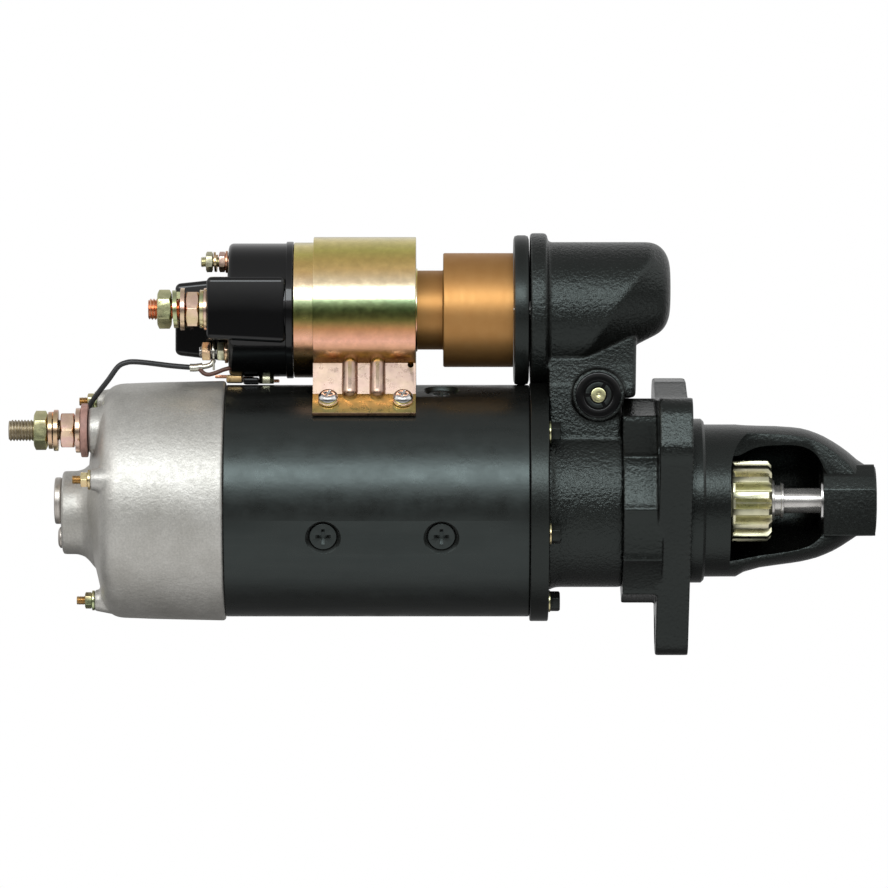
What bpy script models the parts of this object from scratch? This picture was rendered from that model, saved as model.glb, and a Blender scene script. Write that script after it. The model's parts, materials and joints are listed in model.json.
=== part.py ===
"""A heavy-duty 24 V starter motor with its solenoid, as separate pieces with real joints.

Lengths are in millimetres and angles in degrees; the mesh helpers turn them into metres.
+X runs along the armature shaft towards the pinion, and +Z points up towards the solenoid.
The origin is on the shaft's axis, in the plane of the mounting flange's drive-side face.
"""

import math

import bmesh
import bpy
from mathutils import Matrix, Vector

MM = 0.001
GAP = 0.3

# Driving dimensions
PILOT_RADIUS = 46.04
FLANGE_THICKNESS = 18.5
FLANGE_DIP_RADIUS = 60.0
FLANGE_DIP_FLOOR = 58.6
FLANGE_CLOCK = 5.8
BOLT_CIRCLE_RADIUS = 73.0
BOLT_HOLE_RADIUS = 8.5
YOKE_RADIUS = 65.0
YOKE_BORE = 57.0
YOKE_ENDS = (-259.1, -89.3)
SOLENOID_HEIGHT = 107.0
LEVER_PIVOT = (-51.2, 0.0, 59.0)
LEVER_UPPER_ARM = SOLENOID_HEIGHT - LEVER_PIVOT[2]
LEVER_LOWER_ARM = LEVER_PIVOT[2]
PLUNGER_TRAVEL = 15.5
LEVER_HALF_SWING = math.degrees(math.asin(PLUNGER_TRAVEL / 2 / LEVER_UPPER_ARM))
PULL_POINT_X = LEVER_PIVOT[0] + PLUNGER_TRAVEL / 2
COLLAR_X = LEVER_PIVOT[0] - LEVER_LOWER_ARM * PLUNGER_TRAVEL / 2 / LEVER_UPPER_ARM
PINION_TEETH = 15
PINION_MODULE = 2.54
PINION_X = (26.7, 47.6)
SHAFT_RADIUS = 10.0
NOSE_SHAFT_RADIUS = 7.05
COMMUTATOR_RADIUS = 28.0
BRUSH_X = (-311.0, -287.0)
COVER_END_X = -335.1
COVER_STUD_CIRCLE = 57.0
COVER_STUD_ANGLES = (12.2, 102.2, 192.2, -77.8)
HUB_CENTRE = (0.0, -6.7)
HUB_RADIUS = 23.3
SCALLOP_RADIUS = 58.0
SCALLOP_DEPTH = 3.4
FLUTE_START = -4.6
TUBE_RADIUS = 32.0
CASE_RADIUS = 37.9
CAP_RADIUS = 37.5
CLAMP_X = (-210.0, -152.7)
CLAMP_RADII = (38.2, 41.0)
NUT_ACROSS_FLATS = 19.0
NUT_BORE = 6.3
LINK_LEAD_RADIUS = 1.5
GROUND_STUD_AT = (-25.0, 39.4)
BATTERY_STUD_AT = (-22.0, SOLENOID_HEIGHT)
CONTROL_STUD_AT = (-14.0, 133.6)
RETURN_STUD_AT = (-14.0, 83.6)
TERMINAL_FACE_X = -269.1
CLOSED_CASTINGS = (
    "commutator_end_cover", "intermediate_housing", "solenoid_cap", "drive_end_shield",
)

# Outlines, and profiles as (x, radius)
TOWER_OUTLINE = [
    (-78.1, 25.0), (-38.6, 25.0), (-38.6, 58.8), (-29.2, 58.8), (-29.2, 91.7), (-78.1, 91.7),
]
WELL_OUTLINE = [
    (-73.3, 20.0), (-41.4, 20.0), (-41.4, 63.5), (-34.2, 63.5), (-34.2, 106.3), (-73.3, 106.3),
]
DOME_RADIUS = 38.2
DOME_SPLIT = ((-66.0, -38.2), (-17.0, 36.5))
DOME_END_HEIGHT = 118.6
DOME_END = [(-20.5, 26.5), (-16.0, 24.9), (-12.6, 21.7), (-10.6, 17.6), (-10.1, 14.0)]
CHAMBER_SECTIONS = [(-95.0, SOLENOID_HEIGHT, 33.0), (-63.0, SOLENOID_HEIGHT, 33.0),
                    (-17.0, 112.5, 17.0)]
TOWER_SECTION = [(-35.0, 25.0), (-35.0, 45.0), (-22.0, 92.0), (22.0, 92.0), (35.0, 45.0),
                 (35.0, 25.0)]
WELL_SECTION = [(-28.5, 18.0), (-28.5, 30.0), (-19.0, 48.0), (-19.0, 108.0), (19.0, 108.0),
                (19.0, 48.0), (28.5, 30.0), (28.5, 18.0)]
BELL_OUTSIDE = [
    (8.6, 42.8), (27.0, 42.6), (58.0, 41.0), (67.0, 39.0), (76.3, 35.0),
    (84.0, 30.5), (92.0, 24.5), (99.5, 19.8), (105.8, 19.8),
]
BELL_INSIDE = [
    (105.8, 9.4), (80.5, 9.4), (80.5, 22.0), (75.2, 26.5), (71.7, 30.9), (66.0, 33.5),
    (50.6, 36.0), (40.7, 35.6), (34.4, 34.0), (29.5, 31.4), (24.0, 31.0), (16.0, 36.5),
    (-37.6, 38.0),
]
NOSE_BLOCK = [(-24.0, -19.3), (-24.0, 6.5), (-20.5, 14.0), (-13.0, 20.2), (0.0, 20.2),
              (0.0, -19.3)]
SADDLE_SECTION = [
    (-25.0, 77.6), (-26.4, 74.6), (-32.0, 58.4), (-45.8, 47.4), (-47.2, 49.1),
    (-34.0, 59.7), (-28.3, 75.6), (-27.3, 78.2),
]
LINK_LEAD_ROUTE = [
    (-336.0, -12.5, 50.5), (-334.4, -13.5, 54.7), (-330.2, -15.5, 60.5), (-324.6, -17.5, 67.5),
    (-319.0, -18.5, 75.0), (-314.3, -18.8, 77.3), (-309.8, -19.0, 77.7), (-303.2, -18.0, 77.2),
    (-296.5, -16.5, 76.4), (-289.9, -15.5, 75.6), (-283.2, -14.8, 75.0), (-277.6, -14.2, 74.6),
]

MATERIALS = {
    "cast_aluminium": ((0.60, 0.59, 0.57), 0.5, 0.9),
    "black_paint": ((0.012, 0.013, 0.014), 0.35, 0.0),
    "cast_iron_black": ((0.016, 0.017, 0.018), 0.45, 0.0),
    "moulded_black": ((0.008, 0.008, 0.009), 0.15, 0.0),
    "yellow_zinc": ((0.75, 0.60, 0.33), 0.28, 1.0),
    "bright_zinc": ((0.68, 0.67, 0.64), 0.3, 1.0),
    "steel": ((0.62, 0.61, 0.60), 0.25, 1.0),
    "laminated_steel": ((0.33, 0.33, 0.35), 0.45, 1.0),
    "copper": ((0.78, 0.38, 0.24), 0.3, 1.0),
    "bronze": ((0.63, 0.42, 0.20), 0.4, 1.0),
    "bronze_tube": ((0.50, 0.26, 0.08), 0.38, 0.7),
    "carbon": ((0.05, 0.05, 0.055), 0.6, 0.2),
    "insulation": ((0.30, 0.15, 0.07), 0.6, 0.0),
    "fibre": ((0.42, 0.24, 0.20), 0.55, 0.0),
    "cable_black": ((0.010, 0.010, 0.011), 0.4, 0.0),
    "spring_steel": ((0.45, 0.45, 0.47), 0.3, 1.0),
}


# Mesh helpers

def material(slot):
    """The named finish, made once."""
    found = bpy.data.materials.get(slot)
    if found:
        return found
    colour, roughness, metallic = MATERIALS[slot]
    made = bpy.data.materials.new(slot)
    made.use_nodes = True
    shader = made.node_tree.nodes["Principled BSDF"]
    shader.inputs["Base Color"].default_value = (*colour, 1.0)
    shader.inputs["Roughness"].default_value = roughness
    shader.inputs["Metallic"].default_value = metallic
    return made


def to_object(name, mesh_data, slot):
    """An object from a bmesh in millimetres, with its faces pointing out."""
    bmesh.ops.recalc_face_normals(mesh_data, faces=mesh_data.faces)
    mesh = bpy.data.meshes.new(name)
    mesh_data.to_mesh(mesh)
    mesh_data.free()
    mesh.transform(Matrix.Scale(MM, 4))
    piece = bpy.data.objects.new(name, mesh)
    bpy.context.scene.collection.objects.link(piece)
    piece.data.materials.append(material(slot))
    return piece


def shade(piece, angle=35.0):
    """Round faces shade smooth and edges sharper than the angle stay crisp."""
    piece.data.shade_smooth()
    piece.data.set_sharp_from_angle(angle=math.radians(angle))
    return piece


def turned(name, profile, slot, sides=40, centre=(0.0, 0.0)):
    """A closed (x, radius) profile spun about an axis along X through centre (y, z)."""
    mesh = bmesh.new()
    rings = []
    for x, radius in profile:
        if radius == 0:
            rings.append([mesh.verts.new((x, *centre))])
            continue
        ring = []
        for step in range(sides):
            angle = 2 * math.pi * step / sides
            y = centre[0] + radius * math.cos(angle)
            z = centre[1] + radius * math.sin(angle)
            ring.append(mesh.verts.new((x, y, z)))
        rings.append(ring)
    for ring, following in zip(rings, rings[1:] + rings[:1]):
        join_rings(mesh, ring, following)
    return shade(to_object(name, mesh, slot))


def join_rings(mesh, first, second):
    """Faces between two rings, either of which may be a single point."""
    if len(first) == 1 and len(second) == 1:
        return
    count = max(len(first), len(second))
    for i in range(count):
        j = (i + 1) % count
        corners = [first[i % len(first)], first[j % len(first)]]
        corners += [second[j % len(second)], second[i % len(second)]]
        mesh.faces.new(list(dict.fromkeys(corners)))


def rod(name, x0, x1, radius, slot, sides=24, centre=(0.0, 0.0)):
    return turned(name, [(x0, 0), (x0, radius), (x1, radius), (x1, 0)], slot, sides, centre)


def ring(name, x0, x1, inner, outer, slot, sides=32, centre=(0.0, 0.0)):
    profile = [(x0, inner), (x0, outer), (x1, outer), (x1, inner)]
    return turned(name, profile, slot, sides, centre)


def prism(name, outline, low, high, slot, along="X"):
    """An outline pushed along one axis; its pairs are the other two axes in X, Y, Z order."""
    mesh = bmesh.new()
    place = {
        "X": lambda a, b, t: (t, a, b),
        "Y": lambda a, b, t: (a, t, b),
        "Z": lambda a, b, t: (a, b, t),
    }[along]
    base = [mesh.verts.new(place(a, b, low)) for a, b in outline]
    top = [mesh.verts.new(place(a, b, high)) for a, b in outline]
    mesh.faces.new(base)
    mesh.faces.new(top)
    join_rings(mesh, base, top)
    return shade(to_object(name, mesh, slot))


def wrapped(name, points, slot):
    """The convex solid round a set of points."""
    mesh = bmesh.new()
    for point in points:
        mesh.verts.new(point)
    found = bmesh.ops.convex_hull(mesh, input=mesh.verts)
    spare = set(found["geom_interior"]) | set(found["geom_unused"])
    bmesh.ops.delete(mesh, geom=[v for v in spare if isinstance(v, bmesh.types.BMVert)])
    return shade(to_object(name, mesh, slot))


def crossed(name, side_outline, end_outline, slot):
    """What an XZ outline and a YZ outline have in common."""
    body = prism(name, side_outline, -60.0, 60.0, slot, "Y")
    reach = [x for x, _ in side_outline]
    tool = prism("section", end_outline, min(reach) - 1, max(reach) + 1, slot)
    return boolean(body, tool, "INTERSECT")


def block(name, low, high, slot):
    """A box between two corners."""
    outline = [(low[1], low[2]), (high[1], low[2]), (high[1], high[2]), (low[1], high[2])]
    return prism(name, outline, low[0], high[0], slot)


def circle(radius, centre=(0.0, 0.0), sides=24, start=0.0, sweep=360.0):
    """Points along an arc; a full circle doesn't repeat its first point."""
    steps = sides if sweep == 360.0 else sides + 1
    points = []
    for step in range(steps):
        angle = math.radians(start + sweep * step / sides)
        points.append(
            (centre[0] + radius * math.cos(angle), centre[1] + radius * math.sin(angle))
        )
    return points


def turn_point(point, degrees):
    """A pair turned about the origin."""
    angle = math.radians(degrees)
    a, b = point
    return (a * math.cos(angle) - b * math.sin(angle), a * math.sin(angle) + b * math.cos(angle))


def hull(points):
    """The convex outline round a set of pairs, anticlockwise."""
    points = sorted(set((round(a, 4), round(b, 4)) for a, b in points))

    def half(sequence):
        chain = []
        for p in sequence:
            while len(chain) > 1 and cross(chain[-2], chain[-1], p) <= 1e-6:
                chain.pop()
            chain.append(p)
        return chain[:-1]

    return half(points) + half(points[::-1])


def cross(o, a, b):
    return (a[0] - o[0]) * (b[1] - o[1]) - (a[1] - o[1]) * (b[0] - o[0])


def boolean(target, tool, operation):
    """The tool is joined to or cut from the target, and then removed."""
    modifier = target.modifiers.new(operation.lower(), "BOOLEAN")
    modifier.operation = operation
    modifier.solver = "MANIFOLD" if target.name in CLOSED_CASTINGS else "EXACT"
    modifier.object = tool
    tool.hide_render = True
    tool.display_type = "WIRE"
    shapes = bpy.context.evaluated_depsgraph_get()
    mesh = bpy.data.meshes.new_from_object(target.evaluated_get(shapes))
    target.modifiers.clear()
    target.data = mesh
    bpy.data.objects.remove(tool)
    return target


def join(target, *tools):
    for tool in tools:
        boolean(target, tool, "UNION")
    return shade(target)


def cut(target, *tools):
    for tool in tools:
        boolean(target, tool, "DIFFERENCE")
    return shade(target)


def hinge_at(piece, point):
    """Moves a piece's origin to a point on its joint's axis, leaving the shape in place."""
    offset = Vector(point) * MM
    piece.data.transform(Matrix.Translation(-offset))
    piece.location = offset
    return piece


def rotate_mesh(piece, degrees, axis, point):
    """Turns a piece's shape about a line through a point."""
    offset = Matrix.Translation(Vector(point) * MM)
    turn = Matrix.Rotation(math.radians(degrees), 4, axis)
    piece.data.transform(offset @ turn @ offset.inverted())
    return piece


def round_spot(distance, degrees):
    """(y, z) at a distance from the shaft's axis and an angle up from the near side (-Y)."""
    angle = math.radians(degrees)
    return (-distance * math.cos(angle), distance * math.sin(angle))


def nut(name, x0, x1, centre, corner_up=False):
    """A hexagon nut for the 12 mm studs, as a drilled prism along X."""
    turn = 30.0 if corner_up else 0.0
    corners = circle(NUT_ACROSS_FLATS / 2 / math.cos(math.radians(30)), centre, 6, turn)
    return cut(
        prism(name, corners, x0, x1, "yellow_zinc"),
        rod("cutter", x0 - 1, x1 + 1, NUT_BORE, "yellow_zinc", 16, centre),
    )


# Motor casing

def commutator_end_cover():
    """The sand-cast aluminium cover over the brushes, with its offset bearing hub."""
    corner = circle(8.0, (-319.0, 57.8), 5, 90.0, 80.0)
    outside = [(YOKE_ENDS[0] - GAP, 67.3), (-300.0, 66.3)] + corner
    outside += [(-330.0, 45.0), (-332.3, 36.0), (COVER_END_X, 30.0), (COVER_END_X, 0)]
    inside = [(-327.0, 0), (-326.0, 33.0), (-322.0, 58.0), (YOKE_ENDS[0] - GAP, 61.0)]
    cover = turned("commutator_end_cover", outside + inside, "cast_aluminium", 48)
    hub = rod("hub", -350.8, -331.0, HUB_RADIUS, "cast_aluminium", 28, HUB_CENTRE)
    boss = rod("boss", COVER_END_X - 0.2, -328.0, 12.4, "cast_aluminium", 20, GROUND_STUD_AT)
    join(cover, hub, boss)
    for degrees in COVER_STUD_ANGLES:
        spot = round_spot(COVER_STUD_CIRCLE, degrees)
        join(cover, rod("boss", -332.0, -325.4, 5.9, "cast_aluminium", 12, spot))
    return cut(
        cover,
        rod("bore", -360.0, -320.0, 11.3, "cast_aluminium", 24),
        rod("stud_hole", -340.0, -320.0, 6.5, "cast_aluminium", 12, GROUND_STUD_AT),
    )


def cover_studs():
    """Four long studs that clamp the cover; each is one solid with its nut and washer."""
    for number, degrees in enumerate(COVER_STUD_ANGLES, 1):
        spot = round_spot(COVER_STUD_CIRCLE, degrees)
        washer = [(-332.3, 0), (-332.3, 5.7), (-333.4, 5.7), (-333.4, 4.4)]
        tip = [(-337.4, 4.4), (-337.4, 2.5), (-342.5, 2.5), (-342.5, 0)]
        turned(f"cover_stud_{number}", washer + tip, "bright_zinc", 10, spot)


def bearing_cap():
    """The disc over the rear bush and the screw below it that holds it."""
    rod("bearing_cap", -355.4, -351.1, 13.1, "cast_aluminium", 32)
    rod("bearing_cap_screw", -353.6, -351.1, 6.2, "bright_zinc", 16, (0.0, -20.6))


def yoke_tube():
    return ring("yoke_tube", *YOKE_ENDS, YOKE_BORE, YOKE_RADIUS, "black_paint", 48)


def pole_shoes():
    """Four laminated poles on the yoke's bore, each with a curved face to the armature."""
    for number in range(4):
        facing = 45.0 + 90.0 * number
        outline = circle(YOKE_BORE - GAP, sides=4, start=facing - 15, sweep=30)
        outline += circle(50.0, sides=1, start=facing + 15, sweep=14)
        outline += circle(44.5, sides=8, start=facing + 32, sweep=-64)
        outline += circle(50.0, sides=1, start=facing - 29, sweep=14)
        prism(f"pole_shoe_{number + 1}", outline, -240.0, -105.0, "laminated_steel")


def field_coils():
    """A copper strap coil between each pair of poles."""
    for number in range(4):
        facing = 90.0 * number
        outline = circle(YOKE_BORE - GAP, sides=6, start=facing - 28, sweep=56)
        outline += circle(51.0, sides=6, start=facing + 28, sweep=-56)
        coil = prism(f"field_coil_{number + 1}", outline, -246.0, -99.0, "copper")
        shade(coil)


def bearing_plate():
    """The disc between the motor and the lever housing, bored for the centre bush."""
    profile = [(-89.0, 18.3), (-89.0, 67.0), (-88.4, 67.6), (-79.5, 67.6)]
    profile += [(-78.9, 67.0), (-78.9, 18.3)]
    plate = turned("bearing_plate", profile, "cast_iron_black", 40)
    relief = rod("relief", -95.0, -70.0, 43.6, "cast_iron_black", 36, (0.0, SOLENOID_HEIGHT))
    return cut(plate, relief)


# Lever housing and drive-end shield

def dome_points():
    """A drum ended by a slanting plane, drawn in to a smaller disc set higher up."""
    (low_x, low), (high_x, high) = DOME_SPLIT
    points = [(-80.0, y, z) for y, z in circle(DOME_RADIUS, (0.0, SOLENOID_HEIGHT), 40)]
    for y, z in circle(DOME_RADIUS, (0.0, SOLENOID_HEIGHT), 40):
        share = (z - SOLENOID_HEIGHT - low) / (high - low)
        points.append((low_x + (high_x - low_x) * share, y, z))
    for x, radius in DOME_END:
        points += [(x, y, z) for y, z in circle(radius, (0.0, DOME_END_HEIGHT), 32)]
    return points


def lever_housing():
    """Cylinder, tower and dome cast in one, hollow for the lever and the plunger rod."""
    slot = "cast_iron_black"
    body = rod("intermediate_housing", -78.6, -37.9, 48.5, slot, 40)
    tower = crossed("tower", TOWER_OUTLINE, TOWER_SECTION, slot)
    collar = rod("collar", -88.9, -79.4, 43.2, slot, 36, (0.0, SOLENOID_HEIGHT))
    dome = wrapped("dome", dome_points(), slot)
    pivot = (LEVER_PIVOT[0], LEVER_PIVOT[2])
    boss = prism("boss", circle(13.6, pivot, 20), -38.0, 38.0, slot, "Y")
    join(body, tower, collar, dome, boss)
    bore = rod("bore", -80.0, -30.0, 42.5, slot, 36)
    well = crossed("well", WELL_OUTLINE, WELL_SECTION, slot)
    rims = [(x, y, z) for x, height, radius in CHAMBER_SECTIONS
            for y, z in circle(radius, (0.0, height), 28)]
    chamber = wrapped("chamber", rims, slot)
    hole = prism("hole", circle(6.3, pivot, 16), -40.0, 40.0, slot, "Y")
    recess = prism("recess", circle(12.5, pivot, 20), -40.0, -35.5, slot, "Y")
    return cut(body, bore, well, chamber, hole, recess)


def flange_outline():
    """A three-eared plate: a flat top edge, two broad shoulders and a narrow bottom ear."""
    ear_y = BOLT_CIRCLE_RADIUS * math.cos(math.radians(30))
    ear_z = BOLT_CIRCLE_RADIUS * math.sin(math.radians(30))
    rims = circle(14.5, (0.0, -BOLT_CIRCLE_RADIUS), 20)
    for side in (-1, 1):
        rims += circle(16.0, (side * ear_y, ear_z), 20)
        rims += circle(14.0, (side * 60.0, 49.7), 20)
    return [turn_point(p, FLANGE_CLOCK) for p in hull(rims)]


def bolt_hole_spots():
    """(y, z) of the three mounting holes, 120 degrees apart."""
    spots = [(BOLT_CIRCLE_RADIUS * math.cos(math.radians(a)),
              BOLT_CIRCLE_RADIUS * math.sin(math.radians(a))) for a in (-90, 30, 150)]
    return [turn_point(p, FLANGE_CLOCK) for p in spots]


def scalloped_outline():
    """Twelve ridges with shallow hollows between them."""
    points = []
    for flute in range(12):
        for share in range(4):
            degrees = FLUTE_START + 30.0 * (flute + share / 4)
            dip = SCALLOP_DEPTH * math.sin(math.pi * share / 4) ** 0.8
            points.append(round_spot(SCALLOP_RADIUS - dip, degrees))
    return points


def drive_end_shield():
    """Scalloped ring, mounting flange, pilot and nose in one casting."""
    slot = "cast_iron_black"
    profile = [(-37.6, 52.0), (-18.5, 52.0), (-18.4, PILOT_RADIUS - 0.5)]
    profile += [(-0.5, PILOT_RADIUS - 0.5), (-0.4, PILOT_RADIUS), (7.4, PILOT_RADIUS), (8.5, 45.0)]
    shield = turned("drive_end_shield", profile + BELL_OUTSIDE + BELL_INSIDE, slot, 40)
    scallops = prism("scallops", scalloped_outline(), -37.6, -17.0, slot)
    flange = prism("flange", flange_outline(), -FLANGE_THICKNESS, 0.0, slot)
    cut(flange, rod("dip", -FLANGE_THICKNESS - 1.0, 1.0, FLANGE_DIP_RADIUS, slot, 96,
                    (-2.0, FLANGE_DIP_FLOOR + FLANGE_DIP_RADIUS)))
    bores = [rod("bore", -40.0, 2.0, 42.0, slot, 24) for _ in range(2)]
    join(shield, cut(scallops, bores[0]), cut(flange, bores[1]))
    window = [(25.5, -24.0), (25.5, 8.0), (30.0, 26.0), (40.0, 45.0), (66.0, 45.0),
              (74.7, 20.0), (74.7, -30.0), (66.0, -45.0), (34.0, -45.0)]
    cut(shield, prism("window", window, -60.0, -18.5, slot, "Y"))
    cut(shield, block("flat", (74.6, -60.0, -50.0), (110.0, -18.5, 50.0), slot))
    join(shield, prism("nose_block", NOSE_BLOCK, 75.0, 105.7, slot))
    cut(shield, rod("bore", 70.0, 110.0, BELL_INSIDE[0][1], slot, 24))
    cut(shield, rod("washer_seat", 70.0, BELL_INSIDE[1][0], 16.5, slot, 28))
    for spot in bolt_hole_spots():
        cut(shield, rod("hole", -22.0, 4.0, BOLT_HOLE_RADIUS, slot, 20, spot))
    return shield


def bushes():
    ring("rear_bush", -350.5, -329.0, 8.15, 11.0, "bronze", 24)
    ring("centre_bush", -88.8, -79.1, 12.15, 18.0, "bronze", 24)
    ring("nose_bush", 82.0, 105.3, 7.25, 9.1, "bronze", 24)
    ring("thrust_washer", 76.2, 79.6, 7.6, 15.0, "bronze", 24)


# Rotor and drive

def armature():
    """Shaft, core, windings and commutator turn together."""
    shaft = [
        (-350.0, 0), (-350.0, 8.0), (-324.5, 8.0), (-324.5, 11.7), (-78.0, 11.7),
        (-78.0, SHAFT_RADIUS), (40.0, SHAFT_RADIUS), (42.0, NOSE_SHAFT_RADIUS),
        (104.8, NOSE_SHAFT_RADIUS), (104.8, 0),
    ]
    turned("armature_shaft", shaft, "steel", 28)
    ring("armature_core", -235.0, -110.0, 20.6, 43.4, "laminated_steel", 40)
    windings = [
        (-262.0, 12.0), (-262.0, 33.0), (-254.0, 41.0), (-235.4, 41.0), (-235.4, 20.3),
        (-109.6, 20.3), (-109.6, 41.0), (-101.0, 41.0), (-97.0, 33.0), (-97.0, 12.0),
    ]
    turned("armature_windings", windings, "copper", 28)
    commutator = [
        (-318.0, 12.0), (-318.0, COMMUTATOR_RADIUS), (-270.0, COMMUTATOR_RADIUS),
        (-270.0, 32.0), (-262.4, 32.0), (-262.4, 12.0),
    ]
    turned("commutator", commutator, "copper", 36)


def brushes():
    """Four carbon brushes that slide radially in the holder."""
    holder = ring("brush_holder", -313.0, -285.0, 40.0, 57.0, "insulation", 32)
    for number in range(4):
        degrees = 90.0 * number
        tunnel = block("tunnel", (-311.6, -10.6, 30.0), (-286.4, 10.6, 70.0), "insulation")
        cut(holder, rotate_mesh(tunnel, degrees, "X", (0, 0, 0)))
        reach = COMMUTATOR_RADIUS + GAP
        brush = block(f"brush_{number + 1}", (BRUSH_X[0], -10.0, reach),
                      (BRUSH_X[1], 10.0, reach + 21.0), "carbon")
        rotate_mesh(brush, degrees, "X", (0, 0, 0))
        hinge_at(brush, ((BRUSH_X[0] + BRUSH_X[1]) / 2, 0, 0))


def drive_collar():
    """The grooved ring that the lever's pads push along the shaft."""
    half = 7.5
    groove = 4.0
    x = COLLAR_X
    profile = [
        (x - half, 15.3), (x - half, 25.0), (x - groove, 25.0), (x - groove, 17.2),
        (x + groove, 17.2), (x + groove, 25.0), (x + half, 25.0), (x + half, 15.3),
    ]
    return hinge_at(turned("drive_collar", profile, "steel", 28), (x, 0, 0))


def clutch_drum():
    """The overrunning clutch: a drum with the sleeve that carries the collar."""
    profile = [
        (-71.0, 10.6), (-71.0, 15.0), (-51.5, 15.0), (-51.5, 27.6), (-49.5, 29.6),
        (17.5, 29.6), (19.5, 27.6), (19.5, 10.6),
    ]
    return turned("clutch_drum", profile, "steel", 32)


def tooth_outline():
    """Fifteen stub involute-like teeth, drawn from their root, pitch and tip widths."""
    pitch = PINION_TEETH * PINION_MODULE / 2
    widths = [(pitch - 2.0, 5.9), (pitch - 1.6, 5.3), (pitch + 1.0, 4.5), (22.85, 3.4)]
    points = []
    for tooth in range(PINION_TEETH):
        middle = 172.0 + 360.0 / PINION_TEETH * tooth
        sides = [(r, -math.degrees(w / 2 / r)) for r, w in widths]
        sides += [(r, -turn) for r, turn in reversed(sides)]
        points += [turn_point((r, 0.0), middle + turn) for r, turn in sides]
    return points


def pinion_gear():
    """The pinion with its rear ring and its nose sleeve."""
    gear = prism("pinion_gear", tooth_outline(), *PINION_X, "yellow_zinc")
    rear = [(20.0, 0), (20.0, 14.0), (24.0, 14.0), (24.0, 22.0), (27.0, 22.0), (27.0, 0)]
    join(
        gear,
        turned("rear", rear, "yellow_zinc", 36),
        rod("sleeve", 47.0, 53.6, 9.2, "yellow_zinc", 24),
    )
    bore = [(10.0, 0), (10.0, 10.6), (42.5, 10.6), (43.5, 7.6), (60.0, 7.6), (60.0, 0)]
    chamfer = [(45.6, 24.5), (48.0, 24.5), (48.0, 20.4)]
    cut(gear, turned("bore", bore, "yellow_zinc", 24), turned("edge", chamfer, "yellow_zinc", 36))
    return gear


def shift_lever():
    """A forked lever: two prongs round the plunger rod and two pads in the collar's groove."""
    px, _, pz = LEVER_PIVOT
    slot = "steel"
    web = [(-29.3, 28.0), (-29.3, -4.5), (-26.0, -4.5), (-26.0, 24.0), (-14.0, 33.0),
           (14.0, 33.0), (26.0, 24.0), (26.0, -4.5), (29.3, -4.5), (29.3, 28.0),
           (14.0, 52.0), (14.0, 112.0), (8.0, 112.0), (8.0, 74.0), (-8.0, 74.0),
           (-8.0, 112.0), (-14.0, 112.0), (-14.0, 52.0)]
    lever = prism("shift_lever", web, px - 3.0, px + 3.0, slot)
    hub = prism("hub", circle(8.8, (px, pz), 20), -17.0, 17.0, slot, "Y")
    join(lever, hub)
    for side in (-1, 1):
        low, high = sorted((side * 17.9, side * 27.0))
        pad = prism("pad", circle(3.0, (px, 0.0), 12), low, high, slot, "Y")
        join(lever, pad)
    cut(lever, prism("hole", circle(6.15, (px, pz), 20), -20.0, 20.0, slot, "Y"))
    rotate_mesh(lever, LEVER_HALF_SWING, "Y", LEVER_PIVOT)
    return hinge_at(shade(lever), LEVER_PIVOT)


def lever_pin():
    """The pin through the housing, and the plug that covers its near end."""
    at = (LEVER_PIVOT[0], LEVER_PIVOT[2])
    prism("lever_pin", circle(6.0, at, 20), -35.0, 37.0, "steel", "Y")
    prism("pin_plug", circle(12.2, at, 28), -38.0, -35.8, "cast_iron_black", "Y")


# Solenoid

def solenoid_case():
    axis = (0.0, SOLENOID_HEIGHT)
    case = [
        (-220.9, 34.0), (-220.9, CASE_RADIUS), (-152.9, CASE_RADIUS), (-152.9, 18.5),
        (-156.0, 18.5),
        (-156.0, 34.0),
    ]
    turned("solenoid_case", case, "yellow_zinc", 40, axis)
    coil = [(-203.6, 17.6), (-203.6, 33.7), (-156.3, 33.7), (-156.3, 17.6)]
    turned("solenoid_coil", coil, "copper", 36, axis)
    core = [
        (-220.5, 5.2), (-220.5, 33.7), (-204.0, 33.7), (-204.0, 16.5), (-204.3, 16.5),
        (-204.3, 5.2),
    ]
    turned("solenoid_core", core, "steel", 36, axis)


def solenoid_cap():
    """The moulded terminal cap with its two towers and hollow for the contacts."""
    slot = "moulded_black"
    axis = (0.0, SOLENOID_HEIGHT)
    shell = [(-257.7, 0), (-257.7, CAP_RADIUS - 1.5), (-256.2, CAP_RADIUS)]
    shell += [(-221.2, CAP_RADIUS), (-221.2, 0)]
    cap = turned("solenoid_cap", shell, slot, 40, axis)
    near = block("near", (TERMINAL_FACE_X, -33.0, 89.0), (-250.0, -5.0, 123.0), slot)
    far = block("far", (-288.4, 6.0, 80.0), (-250.0, 30.0, 124.0), slot)
    join(cap, near, far)
    hollow = rod("hollow", -250.3, -220.0, 32.0, slot, 28, axis)
    holes = [rod("hole", -300.0, -240.0, r, slot, 12, at) for r, at in (
        (NUT_BORE, BATTERY_STUD_AT), (3.3, CONTROL_STUD_AT), (3.3, RETURN_STUD_AT))]
    return cut(cap, hollow, *holes)


def terminal_studs():
    """The copper studs through the cap; the battery stud's head is a fixed contact."""
    head = [(-246.0, 0), (-246.0, 9.0), (-249.7, 9.0), (-249.7, 6.0)]
    turned("battery_stud", head + [(-302.0, 6.0), (-302.0, 0)], "copper", 20, BATTERY_STUD_AT)
    turned("motor_stud", [(-246.0, 0), (-246.0, 9.0), (-249.7, 9.0), (-249.7, 0)],
           "copper", 20, (22.0, SOLENOID_HEIGHT))
    rod("control_stud", -273.0, -246.0, 3.0, "copper", 12, CONTROL_STUD_AT)
    rod("return_stud", -274.0, -246.0, 3.0, "copper", 12, RETURN_STUD_AT)
    nut("battery_nut_outer", -296.9, -289.4, BATTERY_STUD_AT, corner_up=True)
    nut("battery_nut_inner", -281.2, -273.7, BATTERY_STUD_AT)


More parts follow.
